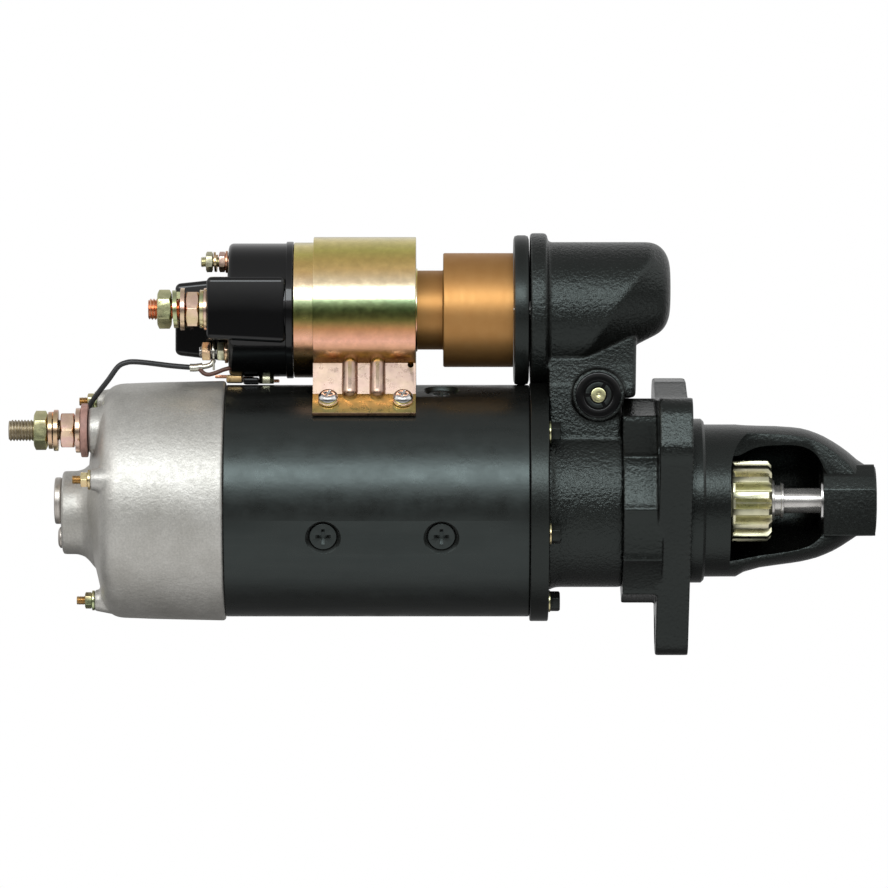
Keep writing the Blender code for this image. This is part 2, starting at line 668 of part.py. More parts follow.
def solenoid_clamp():
    """The band round the case, with a saddle on each side screwed to the yoke's shoulders."""
    axis = (0.0, SOLENOID_HEIGHT)
    clamp = ring("solenoid_clamp", *CLAMP_X, *CLAMP_RADII, "yellow_zinc", 40, axis)
    far = [(-y, z) for y, z in SADDLE_SECTION]
    saddles = [prism("saddle", side, CLAMP_X[0] + 0.2, CLAMP_X[1] - 0.2, "yellow_zinc")
               for side in (SADDLE_SECTION, far)]
    return join(clamp, *saddles)


def plunger_group():
    """Plunger with its rod, its return spring and the moving contact."""
    axis = (0.0, SOLENOID_HEIGHT)
    x = PULL_POINT_X
    rod_radius = 5.0
    profile = [
        (-188.4, 0), (-188.4, 16.6), (-118.0, 16.6), (-118.0, rod_radius),
        (-101.4, rod_radius), (-101.4, 24.0), (-99.2, 24.0), (-99.2, rod_radius),
        (x - 7.5, rod_radius), (x - 7.5, 12.0), (x - 4.6, 12.0), (x - 4.6, rod_radius),
        (x + 4.6, rod_radius), (x + 4.6, 12.0), (x + 7.5, 12.0), (x + 7.5, 0),
    ]
    hinge_at(turned("solenoid_plunger", profile, "steel", 24, axis), (-188.4, *axis))
    return_spring(axis)
    bridge = [(-239.5, 0), (-239.5, 26.0), (-235.5, 26.0), (-235.5, 4.6), (-204.6, 4.6),
              (-204.6, 0)]
    piece = turned("contact_bridge", bridge, "copper", 24, axis)
    hinge_at(piece, (-237.5, *axis))


def return_spring(axis):
    """A coil spring inside the tube, round the rod."""
    turns, radius, wire = 6.0, 21.5, 1.6
    start, end = -132.0, -103.3
    steps = int(turns * 12)
    sides = 5
    mesh = bmesh.new()
    rings = []
    for step in range(steps + 1):
        share = step / steps
        angle = 2 * math.pi * turns * share
        loop = []
        for k in range(sides):
            around = 2 * math.pi * k / sides
            r = radius + wire * math.cos(around)
            x = start + (end - start) * share + wire * math.sin(around)
            loop.append(mesh.verts.new((x, axis[0] + r * math.cos(angle),
                                        axis[1] + r * math.sin(angle))))
        rings.append(loop)
    for first, second in zip(rings, rings[1:]):
        join_rings(mesh, first, second)
    mesh.faces.new(rings[0])
    mesh.faces.new(rings[-1])
    return shade(to_object("return_spring", mesh, "spring_steel"), 60)


def plunger_tube():
    """The bronze-coloured stepped tube and the gasket flange that meets the dome."""
    axis = (0.0, SOLENOID_HEIGHT)
    profile = [
        (-152.4, 18.0), (-152.4, 22.2), (-137.5, 22.2), (-137.5, TUBE_RADIUS - 0.8),
        (-136.7, TUBE_RADIUS), (-98.4, TUBE_RADIUS), (-98.4, 29.0), (-134.0, 29.0),
        (-134.0, 18.0),
    ]
    turned("plunger_tube", profile, "bronze_tube", 32, axis)
    ring("tube_flange", -98.1, -89.2, 20.0, 42.0, "cast_iron_black", 32, axis)


# Terminals and wiring on the cover

def ground_terminal():
    at = GROUND_STUD_AT
    rod("ground_stud", -379.6, -322.0, 6.0, "steel", 20, at)
    nut("ground_nut_outer", -365.5, -357.7, at, corner_up=True)
    nut("ground_nut_inner", -350.5, -342.7, at)
    ring("ground_washer", -338.9, -335.6, NUT_BORE, 15.0, "fibre", 20, at)


def wire(name, route, radius, slot):
    """A round wire on a smooth curve through its route, as a poly spline."""
    curve = bpy.data.curves.new(name, "CURVE")
    curve.dimensions = "3D"
    curve.bevel_depth = radius * MM
    curve.bevel_resolution = 2
    curve.use_fill_caps = True
    points = smooth(route, 3)
    spline = curve.splines.new("POLY")
    spline.points.add(len(points) - 1)
    for point, place in zip(spline.points, points):
        point.co = (*(Vector(place) * MM), 1.0)
    piece = bpy.data.objects.new(name, curve)
    bpy.context.scene.collection.objects.link(piece)
    curve.materials.append(material(slot))
    return piece


def smooth(route, steps):
    """Catmull-Rom points through a route."""
    ends = [route[0]] + list(route) + [route[-1]]
    points = []
    for a, b, c, d in zip(ends, ends[1:], ends[2:], ends[3:]):
        for step in range(steps):
            t = step / steps
            points.append([
                0.5 * (2 * q + (r - p) * t + (2 * p - 5 * q + 4 * r - s) * t * t
                       + (3 * q - p - 3 * r + s) * t ** 3)
                for p, q, r, s in zip(a, b, c, d)
            ])
    points.append(list(route[-1]))
    return points


def wiring():
    wire("link_lead", LINK_LEAD_ROUTE, LINK_LEAD_RADIUS, "cable_black")
    strap = [(-266.0, 70.8), (-247.0, 70.8), (-241.0, 68.4), (-230.0, 68.4),
             (-230.0, 66.4), (-241.6, 66.4), (-247.6, 68.8), (-266.0, 68.8)]
    prism("motor_strap", strap, 12.0, 26.0, "copper", "Y")


def build():
    for old in list(bpy.data.objects):
        bpy.data.objects.remove(old)
    commutator_end_cover()
    cover_studs()
    bearing_cap()
    yoke_tube()
    pole_shoes()
    field_coils()
    bearing_plate()
    lever_housing()
    drive_end_shield()
    bushes()
    armature()
    brushes()
    drive_collar()
    clutch_drum()
    pinion_gear()
    shift_lever()
    lever_pin()
    solenoid_case()
    solenoid_cap()
    terminal_studs()
    solenoid_clamp()
    plunger_group()
    plunger_tube()
    ground_terminal()
    wiring()


build()
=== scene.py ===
"""The starter motor's looks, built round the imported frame.

Lengths are in millimetres in the row frame; the mesh helpers turn them into metres.
+X runs along the shaft towards the pinion, -Y faces the camera and +Z points up.
"""

import json
import math

import bmesh
import bpy
import numpy as np
from mathutils import Matrix, Vector


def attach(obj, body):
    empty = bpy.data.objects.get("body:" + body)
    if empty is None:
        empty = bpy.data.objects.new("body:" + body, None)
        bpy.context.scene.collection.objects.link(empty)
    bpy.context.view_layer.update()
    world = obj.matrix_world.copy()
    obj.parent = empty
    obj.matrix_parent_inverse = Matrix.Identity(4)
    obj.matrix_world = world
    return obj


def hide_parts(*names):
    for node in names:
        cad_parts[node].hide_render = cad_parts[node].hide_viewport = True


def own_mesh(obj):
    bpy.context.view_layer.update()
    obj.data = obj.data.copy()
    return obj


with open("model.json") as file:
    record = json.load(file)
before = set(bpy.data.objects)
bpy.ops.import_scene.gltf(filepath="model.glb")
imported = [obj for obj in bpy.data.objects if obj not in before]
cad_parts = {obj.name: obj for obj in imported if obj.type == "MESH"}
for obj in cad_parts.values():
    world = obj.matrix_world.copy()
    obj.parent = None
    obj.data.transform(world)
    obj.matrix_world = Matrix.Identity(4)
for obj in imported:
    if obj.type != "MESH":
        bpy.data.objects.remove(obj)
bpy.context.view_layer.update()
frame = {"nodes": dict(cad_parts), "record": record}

MM = 0.001
SOLENOID = (0.0, 107.0)
GROUND_AT = (-25.0, 39.4)
BATTERY_AT = (-22.0, 107.0)
CONTROL_AT = (-14.0, 133.6)
RETURN_AT = (-14.0, 83.6)
YOKE_ENDS = (-259.1, -89.3)
YOKE_RADIUS = 65.0
PIVOT = (-51.2, 59.0)
BOLT_CIRCLE = 73.0
FLANGE_CLOCK = 5.8


# Materials

def shader_tree(name):
    """A new node material: its tree, its Principled shader and object coordinates."""
    made = bpy.data.materials.new(name)
    made.use_nodes = True
    tree = made.node_tree
    place = tree.nodes.new("ShaderNodeTexCoord").outputs["Object"]
    return made, tree, tree.nodes["Principled BSDF"], place


def feed(tree, node, **inputs):
    """Gives inputs a socket or a plain value each; an underscore stands for a space."""
    for name, value in inputs.items():
        socket = node.inputs[name.replace("_", " ")]
        if isinstance(value, bpy.types.NodeSocket):
            tree.links.new(value, socket)
        else:
            socket.default_value = value
    return node


def added(tree, kind, **inputs):
    """A new node of a kind, with its inputs fed."""
    return feed(tree, tree.nodes.new("ShaderNode" + kind), **inputs)


def noise(tree, place, scale, detail=4.0, roughness=0.55, stretch=(1, 1, 1)):
    """Fractal noise with so many features to the metre, stretched along the axes."""
    mapping = added(tree, "Mapping", Scale=stretch, Vector=place)
    return added(tree, "TexNoise", Scale=scale, Detail=detail, Roughness=roughness,
                 Vector=mapping.outputs["Vector"]).outputs["Fac"]


def ramp(tree, factor, stops):
    """A colour ramp; each stop is (position, colour or grey)."""
    node = tree.nodes.new("ShaderNodeValToRGB")
    elements = node.color_ramp.elements
    while len(elements) < len(stops):
        elements.new(0.5)
    for element, (position, colour) in zip(elements, stops):
        element.position = position
        grey = isinstance(colour, (int, float))
        element.color = (colour, colour, colour, 1) if grey else (*colour, 1)
    tree.links.new(factor, node.inputs["Fac"])
    return node.outputs["Color"]


def mix(tree, factor, first, second, blend="MIX"):
    """Two colours mixed; the factor is a socket or a number."""
    node = tree.nodes.new("ShaderNodeMix")
    node.data_type = "RGBA"
    node.blend_type = blend
    feed(tree, node, Factor=factor)
    for socket, value in (("A", first), ("B", second)):
        target = [i for i in node.inputs if i.name == socket and i.type == "RGBA"][0]
        if isinstance(value, tuple):
            target.default_value = (*value, 1)
        else:
            tree.links.new(value, target)
    return [o for o in node.outputs if o.type == "RGBA"][0]


def bump(tree, shader, layers):
    """Stacked bump layers; each is (height socket, depth in mm)."""
    normal = None
    for height, depth in layers:
        node = added(tree, "Bump", Strength=1.0, Distance=depth * MM, Height=height)
        if normal:
            feed(tree, node, Normal=normal)
        normal = node.outputs["Normal"]
    feed(tree, shader, Normal=normal)


def painted_edge_highlight(tree, lift):
    """0 on flat areas, rising to the given amount on outer edges: a painted highlight along ridges
    and edges.
    """
    sharpness = added(tree, "NewGeometry").outputs["Pointiness"]
    return ramp(tree, sharpness, [(0.53, 0.0), (0.60, lift)])


def cast_aluminium():
    """Grey sand-cast aluminium with a fine sparkle and faint dark stains."""
    made, tree, shader, place = shader_tree("cast_aluminium")
    stain = noise(tree, place, 28, 5, 0.6)
    grain = noise(tree, place, 950, 3, 0.6)
    colour = ramp(tree, stain, [(0.3, (0.43, 0.415, 0.38)), (0.6, (0.55, 0.535, 0.50))])
    speck = ramp(tree, grain, [(0.35, 0.82), (0.7, 1.0)])
    rough = ramp(tree, noise(tree, place, 300), [(0.3, 0.40), (0.75, 0.54)])
    feed(tree, shader, Base_Color=mix(tree, 1.0, colour, speck, "MULTIPLY"), Metallic=0.75,
         Roughness=rough)
    pores = noise(tree, place, 420, 4, 0.6)
    bump(tree, shader, [(pores, 0.20), (grain, 0.10)])
    return made


def machined_aluminium():
    """Smooth grey aluminium with fine turning marks."""
    made, tree, shader, place = shader_tree("machined_aluminium")
    marks = noise(tree, place, 1400, 2, 0.5, (1, 0.05, 0.05))
    colour = ramp(tree, marks, [(0.3, (0.46, 0.42, 0.38)), (0.7, (0.60, 0.56, 0.52))])
    feed(tree, shader, Base_Color=colour, Metallic=0.9, Roughness=0.36)
    bump(tree, shader, [(marks, 0.03)])
    return made


def black_paint():
    """Semi-gloss black paint over a rolled steel tube, with faint lengthwise streaks."""
    made, tree, shader, place = shader_tree("black_paint")
    streak = noise(tree, place, 60, 4, 0.55, (0.25, 2.5, 2.5))
    peel = noise(tree, place, 520, 3, 0.5)
    colour = ramp(tree, streak, [(0.3, (0.005, 0.005, 0.0045)), (0.75, (0.010, 0.010, 0.0092))])
    rough = ramp(tree, noise(tree, place, 90, 5, 0.6), [(0.3, 0.24), (0.8, 0.40)])
    feed(tree, shader, Base_Color=colour, Roughness=rough, Specular_IOR_Level=0.55,
         Specular_Tint=(0.84, 1.0, 0.98, 1))
    bump(tree, shader, [(noise(tree, place, 45, 3, 0.5, (0.4, 1.5, 1.5)), 0.18), (peel, 0.035)])
    return made


def cast_black(name, depth, roughness):
    """Black paint over a grainy iron casting, with a painted highlight on sharp outer edges."""
    made, tree, shader, place = shader_tree(name)
    grain = noise(tree, place, 1000, 4, 0.62)
    lumps = noise(tree, place, 540, 3, 0.55)
    tone = noise(tree, place, 35, 4, 0.5)
    colour = ramp(tree, tone, [(0.3, (0.0025, 0.0025, 0.0022)), (0.75, (0.005, 0.005, 0.0044))])
    # Painted highlight: paler colour on sharp outer edges.
    highlighted = mix(tree, painted_edge_highlight(tree, 0.25), colour, (0.05, 0.05, 0.048))
    rough = ramp(tree, grain, [(0.3, roughness[0]), (0.75, roughness[1])])
    feed(tree, shader, Base_Color=highlighted, Roughness=rough, Specular_IOR_Level=0.42,
         Specular_Tint=(0.87, 1.0, 0.96, 1))
    bump(tree, shader, [(lumps, depth), (grain, depth * 0.42)])
    return made


def moulded_black():
    """Glossy black moulding with faint scuffs."""
    made, tree, shader, place = shader_tree("moulded_black")
    scuff = ramp(tree, noise(tree, place, 140, 6, 0.65), [(0.55, 0.07), (0.8, 0.14)])
    feed(tree, shader, Base_Color=(0.0022, 0.0022, 0.0024, 1), Roughness=scuff,
         Specular_IOR_Level=0.45)
    bump(tree, shader, [(noise(tree, place, 60, 2, 0.5), 0.06)])
    return made


MIXED_TINTS = [
    (0.30, (0.80, 0.47, 0.36)), (0.42, (0.82, 0.63, 0.36)), (0.50, (0.80, 0.70, 0.40)),
    (0.58, (0.52, 0.60, 0.34)), (0.68, (0.80, 0.66, 0.34)), (0.78, (0.82, 0.50, 0.42)),
]
ROSY_TINTS = [(0.30, (0.88, 0.70, 0.42)), (0.48, (0.90, 0.66, 0.48)), (0.66, (0.86, 0.58, 0.50))]
OLIVE_TINTS = [(0.30, (0.82, 0.74, 0.44)), (0.48, (0.74, 0.72, 0.40)), (0.66, (0.60, 0.62, 0.34))]
# Painted reflections and shade for the solenoid case and clamp band, by how far the surface faces
# up: pale and gold where the lit room would reflect, dark green and brown where its dark parts
# would, pink where the floor would.
PAINTED_REFLECTION_BANDS = [
    (0.0, (0.14, 0.07, 0.015)), (0.13, (0.20, 0.09, 0.015)), (0.20, (0.72, 0.36, 0.17)),
    (0.28, (0.98, 0.50, 0.36)), (0.36, (0.60, 0.28, 0.11)), (0.42, (0.30, 0.27, 0.06)),
    (0.49, (0.14, 0.22, 0.06)), (0.555, (0.22, 0.30, 0.17)), (0.60, (0.60, 0.54, 0.42)),
    (0.70, (0.84, 0.66, 0.42)), (0.77, (0.98, 0.66, 0.26)), (0.84, (0.98, 0.70, 0.22)),
    (0.90, (0.98, 0.86, 0.24)), (0.96, (0.98, 0.84, 0.36)), (1.0, (0.84, 0.76, 0.46)),
]
# Painted reflections and shade for the clamp saddles, by how far the surface faces up, kept dark to
# hold down the lamp's glare.
SADDLE_PAINTED_REFLECTIONS = [
    (0.40, (0.30, 0.16, 0.08)), (0.55, (0.34, 0.22, 0.17)), (0.70, (0.41, 0.31, 0.26)),
    (0.80, (0.40, 0.35, 0.09)), (1.0, (0.50, 0.44, 0.14)),
]


def rescaled(tree, value, low, high):
    """A value between low and high brought to between 0 and 1."""
    node = added(tree, "MapRange", Value=value, From_Min=low, From_Max=high)
    return node.outputs["Result"]


def lean(tree):
    """How far a surface faces up: 0 for straight down, 1 for straight up."""
    normal = added(tree, "NewGeometry").outputs["Normal"]
    return rescaled(tree, added(tree, "SeparateXYZ", Vector=normal).outputs["Z"], -1.0, 1.0)


def yellow_zinc(name, scale, roughness, pale=0.0, tints=MIXED_TINTS, painted_reflection=0.0,
                reflection_bands=PAINTED_REFLECTION_BANDS):
    """Zinc with a yellow chromate skin; the fifth value mixes in painted reflections and shade, set
    by which way the surface faces.
    """
    made, tree, shader, place = shader_tree(name)
    drift = noise(tree, place, scale, 3, 0.5, (1.0, 0.6, 2.2))
    colour = mix(tree, pale, ramp(tree, drift, tints), (0.80, 0.77, 0.66))
    # Painted reflections and shade: colours chosen by how far the surface faces up.
    if painted_reflection:
        colour = mix(tree, painted_reflection, colour, ramp(tree, lean(tree), reflection_bands))
    cloud = ramp(tree, noise(tree, place, 190, 5, 0.6), [(0.3, 0.80), (0.7, 1.0)])
    rough = ramp(tree, noise(tree, place, 240, 4), [(0.3, roughness[0]), (0.75, roughness[1])])
    feed(tree, shader, Base_Color=mix(tree, 1.0, colour, cloud, "MULTIPLY"), Metallic=1.0,
         Roughness=rough)
    bump(tree, shader, [(noise(tree, place, 700, 3, 0.6), 0.02)])
    return made


def bare_metal(name, dark, light, roughness, metallic=1.0, marks=900.0, swing=0.25):
    """Turned metal, its tone drifting between two colours, with fine tool marks."""
    made, tree, shader, place = shader_tree(name)
    drift = noise(tree, place, 130, 4, 0.55)
    tool = noise(tree, place, marks, 2, 0.5, (1, 0.08, 0.08))
    rough = ramp(tree, tool, [(0.3, roughness * (1 - swing)), (0.7, roughness * (1 + swing))])
    feed(tree, shader, Base_Color=ramp(tree, drift, [(0.3, dark), (0.7, light)]),
         Metallic=metallic, Roughness=rough)
    bump(tree, shader, [(tool, 0.06 * swing)])
    return made


def plain_solid(name, colour, roughness, grain_scale, depth):
    """A non-metal with a mottled colour and a fine grain."""
    made, tree, shader, place = shader_tree(name)
    drift = noise(tree, place, grain_scale, 4, 0.6)
    darker = tuple(c * 0.62 for c in colour)
    feed(tree, shader, Base_Color=ramp(tree, drift, [(0.3, darker), (0.7, colour)]),
         Roughness=roughness)
    bump(tree, shader, [(drift, depth)])
    return made


# Each row holds the arguments of its finish's maker, in order.
CASTINGS = {
    "cast_iron_black": (0.5, (0.15, 0.28)),
    "nose_black": (0.17, (0.20, 0.32)),
    "flange_black": (0.38, (0.14, 0.27)),
    "machined_black": (0.08, (0.26, 0.36)),
}
ZINCS = {
    "yellow_zinc": (22.0, (0.16, 0.30)),
    # In the case, clamp and saddle rows the fifth value mixes in painted reflections and shade.
    "case_zinc": (22.0, (0.18, 0.30), 0.0, MIXED_TINTS, 0.9),
    "clamp_zinc": (26.0, (0.14, 0.26), 0.0, MIXED_TINTS, 0.92),
    "saddle_zinc": (90.0, (0.20, 0.46), 0.0, ROSY_TINTS, 0.84, SADDLE_PAINTED_REFLECTIONS),
    "pink_zinc": (70.0, (0.16, 0.30), 0.0, ROSY_TINTS),
    "olive_zinc": (60.0, (0.18, 0.32), 0.0, OLIVE_TINTS),
    "pinion_zinc": (40.0, (0.24, 0.38), 0.45, OLIVE_TINTS),
}
METALS = {
    "bright_zinc": ((0.52, 0.50, 0.42), (0.68, 0.66, 0.58), 0.24),
    "steel": ((0.52, 0.51, 0.50), (0.66, 0.65, 0.64), 0.16),
    "stud_steel": ((0.34, 0.29, 0.21), (0.50, 0.44, 0.33), 0.46),
    "shaft_steel": ((0.50, 0.48, 0.46), (0.62, 0.60, 0.57), 0.22, 0.75, 900.0, 0.06),
    "laminated_steel": ((0.20, 0.20, 0.21), (0.34, 0.34, 0.35), 0.4),
    "copper": ((0.62, 0.26, 0.14), (0.86, 0.46, 0.30), 0.26),
    "bronze": ((0.44, 0.28, 0.12), (0.62, 0.44, 0.22), 0.34),
    "bronze_tube": ((0.43, 0.215, 0.068), (0.46, 0.24, 0.08), 0.46, 0.85, 400.0, 0.06),
}
SOLIDS = {
    "carbon": ((0.05, 0.05, 0.055), 0.6, 900, 0.03),
    "insulation": ((0.30, 0.15, 0.07), 0.6, 500, 0.05),
    "fibre": ((0.40, 0.22, 0.18), 0.55, 260, 0.35),
    "cable_black": ((0.018, 0.018, 0.019), 0.42, 700, 0.03),
    "cable_brown": ((0.10, 0.035, 0.020), 0.4, 700, 0.03),
}
FINISH = {
    "cast_aluminium": cast_aluminium(),
    "machined_aluminium": machined_aluminium(),
    "black_paint": black_paint(),
    "moulded_black": moulded_black(),
}
for maker, kinds in ((cast_black, CASTINGS), (yellow_zinc, ZINCS), (bare_metal, METALS),
                     (plain_solid, SOLIDS)):
    FINISH.update({name: maker(name, *values) for name, values in kinds.items()})


# Mesh helpers

def place(name, mesh_data, finish, body="housing", stands_for=(), angle=32.0):
    """A finished piece from a bmesh in millimetres, riding on a body."""
    return dress(raw(mesh_data, name), finish, body, stands_for, angle)


def dress(piece, finish, body="housing", stands_for=(), angle=32.0):
    """Smooth shading, a finish, a body to ride on and the CAD nodes it stands for."""
    piece.data.shade_smooth()
    piece.data.set_sharp_from_angle(angle=math.radians(angle))
    piece.data.materials.clear()
    piece.data.materials.append(FINISH[finish])
    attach(piece, body)
    if stands_for:
        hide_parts(*stands_for)
    return piece


def join_rings(mesh, first, second):
    """Faces between two rings, either of which may be a single point."""
    if len(first) == 1 and len(second) == 1:
        return
    for i in range(max(len(first), len(second))):
        j = (i + 1) % max(len(first), len(second))
        corners = [first[i % len(first)], first[j % len(first)]]
        corners += [second[j % len(second)], second[i % len(second)]]
        mesh.faces.new(list(dict.fromkeys(corners)))


def softened(profile, steps=4):
    """(x, r) or (x, r, fillet) points; a corner with a fillet becomes an arc-like curve."""
    points = []
    count = len(profile)
    for i, corner in enumerate(profile):
        here = Vector(corner[:2])
        fillet = corner[2] if len(corner) > 2 else 0.0
        if not fillet:
            points.append(tuple(here))
            continue
        before = Vector(profile[(i - 1) % count][:2]) - here
        after = Vector(profile[(i + 1) % count][:2]) - here
        start = here + before.normalized() * min(fillet, before.length * 0.5)
        end = here + after.normalized() * min(fillet, after.length * 0.5)
        for step in range(steps + 1):
            t = step / steps
            points.append(tuple(start.lerp(here, t).lerp(here.lerp(end, t), t)))
    return points


def skinned(rings, closed=False):
    """A mesh through rings of points, joined back to the first ring or capped at its ends."""
    mesh = bmesh.new()
    loops = [[mesh.verts.new(point) for point in points] for points in rings]
    following = loops[1:] + loops[:1] if closed else loops[1:]
    for first, second in zip(loops, following):
        join_rings(mesh, first, second)
    ends = [] if closed else [loops[0], loops[-1]]
    for end in ends:
        if len(end) > 1:
            mesh.faces.new(end)
    return mesh


def full_turn(sides):
    """Evenly spaced angles in radians."""
    return [2 * math.pi * step / sides for step in range(sides)]


def around(centre, radius, angle):
    """The point at a radius and an angle in radians round a centre."""
    return (centre[0] + radius * math.cos(angle), centre[1] + radius * math.sin(angle))


def lathe_mesh(profile, sides=96, centre=(0.0, 0.0), steps=4):
    """A closed profile spun about a line along X through centre (y, z)."""
    rings = []
    for x, radius in softened(profile, steps):
        turns = full_turn(sides) if radius > 0 else [0.0]
        rings.append([(x, *around(centre, radius, a)) for a in turns])
    return skinned(rings, closed=True)


def solid(profile, sides=96, centre=(0.0, 0.0), steps=4, name="tool"):
    """A bare turned solid; an end of its profile that is off the axis is carried to it."""
    first, last = profile[0], profile[-1]
    start = [(first[0], 0)] if first[1] else []
    end = [(last[0], 0)] if last[1] else []
    return raw(lathe_mesh(start + profile + end, sides, centre, steps), name)


def lathe(name, profile, finish, sides=96, centre=(0.0, 0.0), steps=4, **how):
    return place(name, lathe_mesh(profile, sides, centre, steps), finish, **how)


def disc_profile(x0, x1, inner, outer, edge=0.3):
    """The profile of a flat ring with softened edges."""
    return [(x0, inner, edge), (x0, outer, edge), (x1, outer, edge), (x1, inner, edge)]


def ring(name, x0, x1, inner, outer, finish, sides=64, centre=(0.0, 0.0), edge=0.3, **how):
    return lathe(name, disc_profile(x0, x1, inner, outer, edge), finish, sides, centre, 2, **how)


AXES = {
    "X": lambda a, b, t: (t, a, b),
    "Y": lambda a, b, t: (a, t, b),
    "Z": lambda a, b, t: (a, b, t),
}


def prism(outline, low, high, along="X", name="tool"):
    """An outline pushed along one axis; its pairs are the other axes in X, Y, Z order."""
    mesh = bmesh.new()
    base = [mesh.verts.new(AXES[along](a, b, low)) for a, b in outline]
    top = [mesh.verts.new(AXES[along](a, b, high)) for a, b in outline]
    mesh.faces.new(base)
    mesh.faces.new(top)
    join_rings(mesh, base, top)
    return raw(mesh, name)


def circle(radius, centre, sides, start=0.0):
    """Evenly spaced points on a circle, from an angle in degrees."""
    angles = [math.radians(start + 360.0 * step / sides) for step in range(sides)]
    return [around(centre, radius, a) for a in angles]


def turn_point(point, degrees):
    a, b = point
    c, s = math.cos(math.radians(degrees)), math.sin(math.radians(degrees))
    return (a * c - b * s, a * s + b * c)


def spot(distance, degrees):
    """(y, z) at a distance from the shaft and an angle up from the near side."""
    return (-distance * math.cos(math.radians(degrees)), distance * math.sin(math.radians(degrees)))


def raw(mesh_data, name="tool"):
    """A bare object from a bmesh in millimetres."""
    bmesh.ops.recalc_face_normals(mesh_data, faces=mesh_data.faces)
    mesh = bpy.data.meshes.new(name)
    mesh_data.to_mesh(mesh)
    mesh_data.free()
    mesh.transform(Matrix.Scale(MM, 4))
    piece = bpy.data.objects.new(name, mesh)
    bpy.context.scene.collection.objects.link(piece)
    return piece


def apply(piece):
    """The piece's modifiers become its mesh."""
    shapes = bpy.context.evaluated_depsgraph_get()
    mesh = bpy.data.meshes.new_from_object(piece.evaluated_get(shapes))
    piece.modifiers.clear()
    piece.data = mesh
    return piece


def boolean(target, tool, operation, solver="MANIFOLD"):
    modifier = target.modifiers.new("boolean", "BOOLEAN")
    modifier.operation = operation
    modifier.solver = solver
    modifier.object = tool
    apply(target)
    bpy.data.objects.remove(tool)
    return target


def join(target, tool):
    return boolean(target, tool, "UNION")


def common(target, tool):
    """What the two have in common."""
    return boolean(target, tool, "INTERSECT")


def cut(target, *tools, solver="MANIFOLD"):
    for tool in tools:
        boolean(target, tool, "DIFFERENCE", solver)
    return target


def cast(piece, voxel=0.9, rounds=7, keep=0.3):
    """Voxel remesh and smoothing give a casting its fillets and soft edges."""
    remesh = piece.modifiers.new("remesh", "REMESH")
    remesh.mode = "VOXEL"
    remesh.voxel_size = voxel * MM
    smooth = piece.modifiers.new("smooth", "SMOOTH")
    smooth.factor = 0.5
    smooth.iterations = rounds
    thin = piece.modifiers.new("thin", "DECIMATE")
    thin.ratio = keep
    return apply(piece)


def bevelled(piece, width, segments=3, angle=35.0):
    """Rounds the edges sharper than an angle."""
    bevel = piece.modifiers.new("bevel", "BEVEL")
    bevel.width = width * MM
    bevel.segments = segments
    bevel.limit_method = "ANGLE"
    bevel.angle_limit = math.radians(angle)
    return apply(piece)


def moved(piece, point, axis=(1, 0, 0), roll=0.0):
    """A piece built about the origin along +X is turned to point along axis, at point (mm)."""
    turn = Vector((1, 0, 0)).rotation_difference(Vector(axis)).to_matrix().to_4x4()
    spin = Matrix.Rotation(math.radians(roll), 4, "X")
    piece.data.transform(Matrix.Translation(Vector(point) * MM) @ turn @ spin)
    return piece


def block(low, high):
    """A box between two corners."""
    outline = [(low[1], low[2]), (high[1], low[2]), (high[1], high[2]), (low[1], high[2])]
    return prism(outline, low[0], high[0])


def merge(target, *others):
    """Separate bodies kept as one object."""
    mesh = bmesh.new()
    for piece in (target, *others):
        mesh.from_mesh(piece.data)
    for piece in others:
        bpy.data.objects.remove(piece)
    mesh.to_mesh(target.data)
    mesh.free()
    return target


# Fasteners

def threaded(name, x0, x1, radius, pitch, finish, centre, sides=36, **how):
    """A stud with a real helical thread and a chamfered free end at x0."""
    depth = 0.6 * pitch
    step = pitch / 8
    count = int(round((x1 - x0) / step))
    rings = [[(x0, *centre)]]
    for i in range(count + 1):
        x = x0 + (x1 - x0) * i / count
        edge = radius - 0.9 * depth + (x - x0)
        loop = []
        for k in range(sides):
            share = k / sides
            phase = (x / pitch - share) % 1.0
            r = min(radius - depth * (1 - abs(2 * phase - 1)) ** 1.2, edge)
            turn = 2 * math.pi * share
            loop.append((x, *around(centre, r, turn)))
        rings.append(loop)
    rings.append([(x1, *centre)])
    return place(name, skinned(rings), finish, angle=50.0, **how)


def nut(name, x0, x1, flats, bore, finish, centre, corner_up=False, **how):
    """A hexagon nut along X with chamfered corners and a countersunk bore."""
    corner = flats / 2 / math.cos(math.radians(30))
    chamfer = (corner - flats / 2) * 0.75
    outline = circle(corner, centre, 6, 30.0 if corner_up else 0.0)
    body = prism(outline, x0, x1)
    cone = [(x0 - 1, flats / 2 - 2.6), (x0 + chamfer, corner + 0.1),
            (x1 - chamfer, corner + 0.1), (x1 + 1, flats / 2 - 2.6)]
    common(body, solid(cone, 48, centre))
    hole = [(x0 - 1, bore + 1.6), (x0 + 0.8, bore), (x1 - 0.8, bore), (x1 + 1, bore + 1.6)]
    cut(body, solid(hole, 32, centre))
    bevelled(body, 0.18, 2, 20.0)
    body.name = name
    return dress(body, finish, **how)


def split_washer(name, x0, x1, thick, inner, outer, finish, centre, start=100.0, **how):
    """A spring washer: a square-section coil of not quite one turn that climbs along X."""
    rings = []
    for step in range(49):
        share = step / 48
        turn = math.radians(start + 348.0 * share)
        x = x0 + (x1 - x0 - thick) * share
        corners = ((x, inner), (x, outer), (x + thick, outer), (x + thick, inner))
        rings.append([(a, *around(centre, r, turn)) for a, r in corners])
    return place(name, skinned(rings), finish, **how)


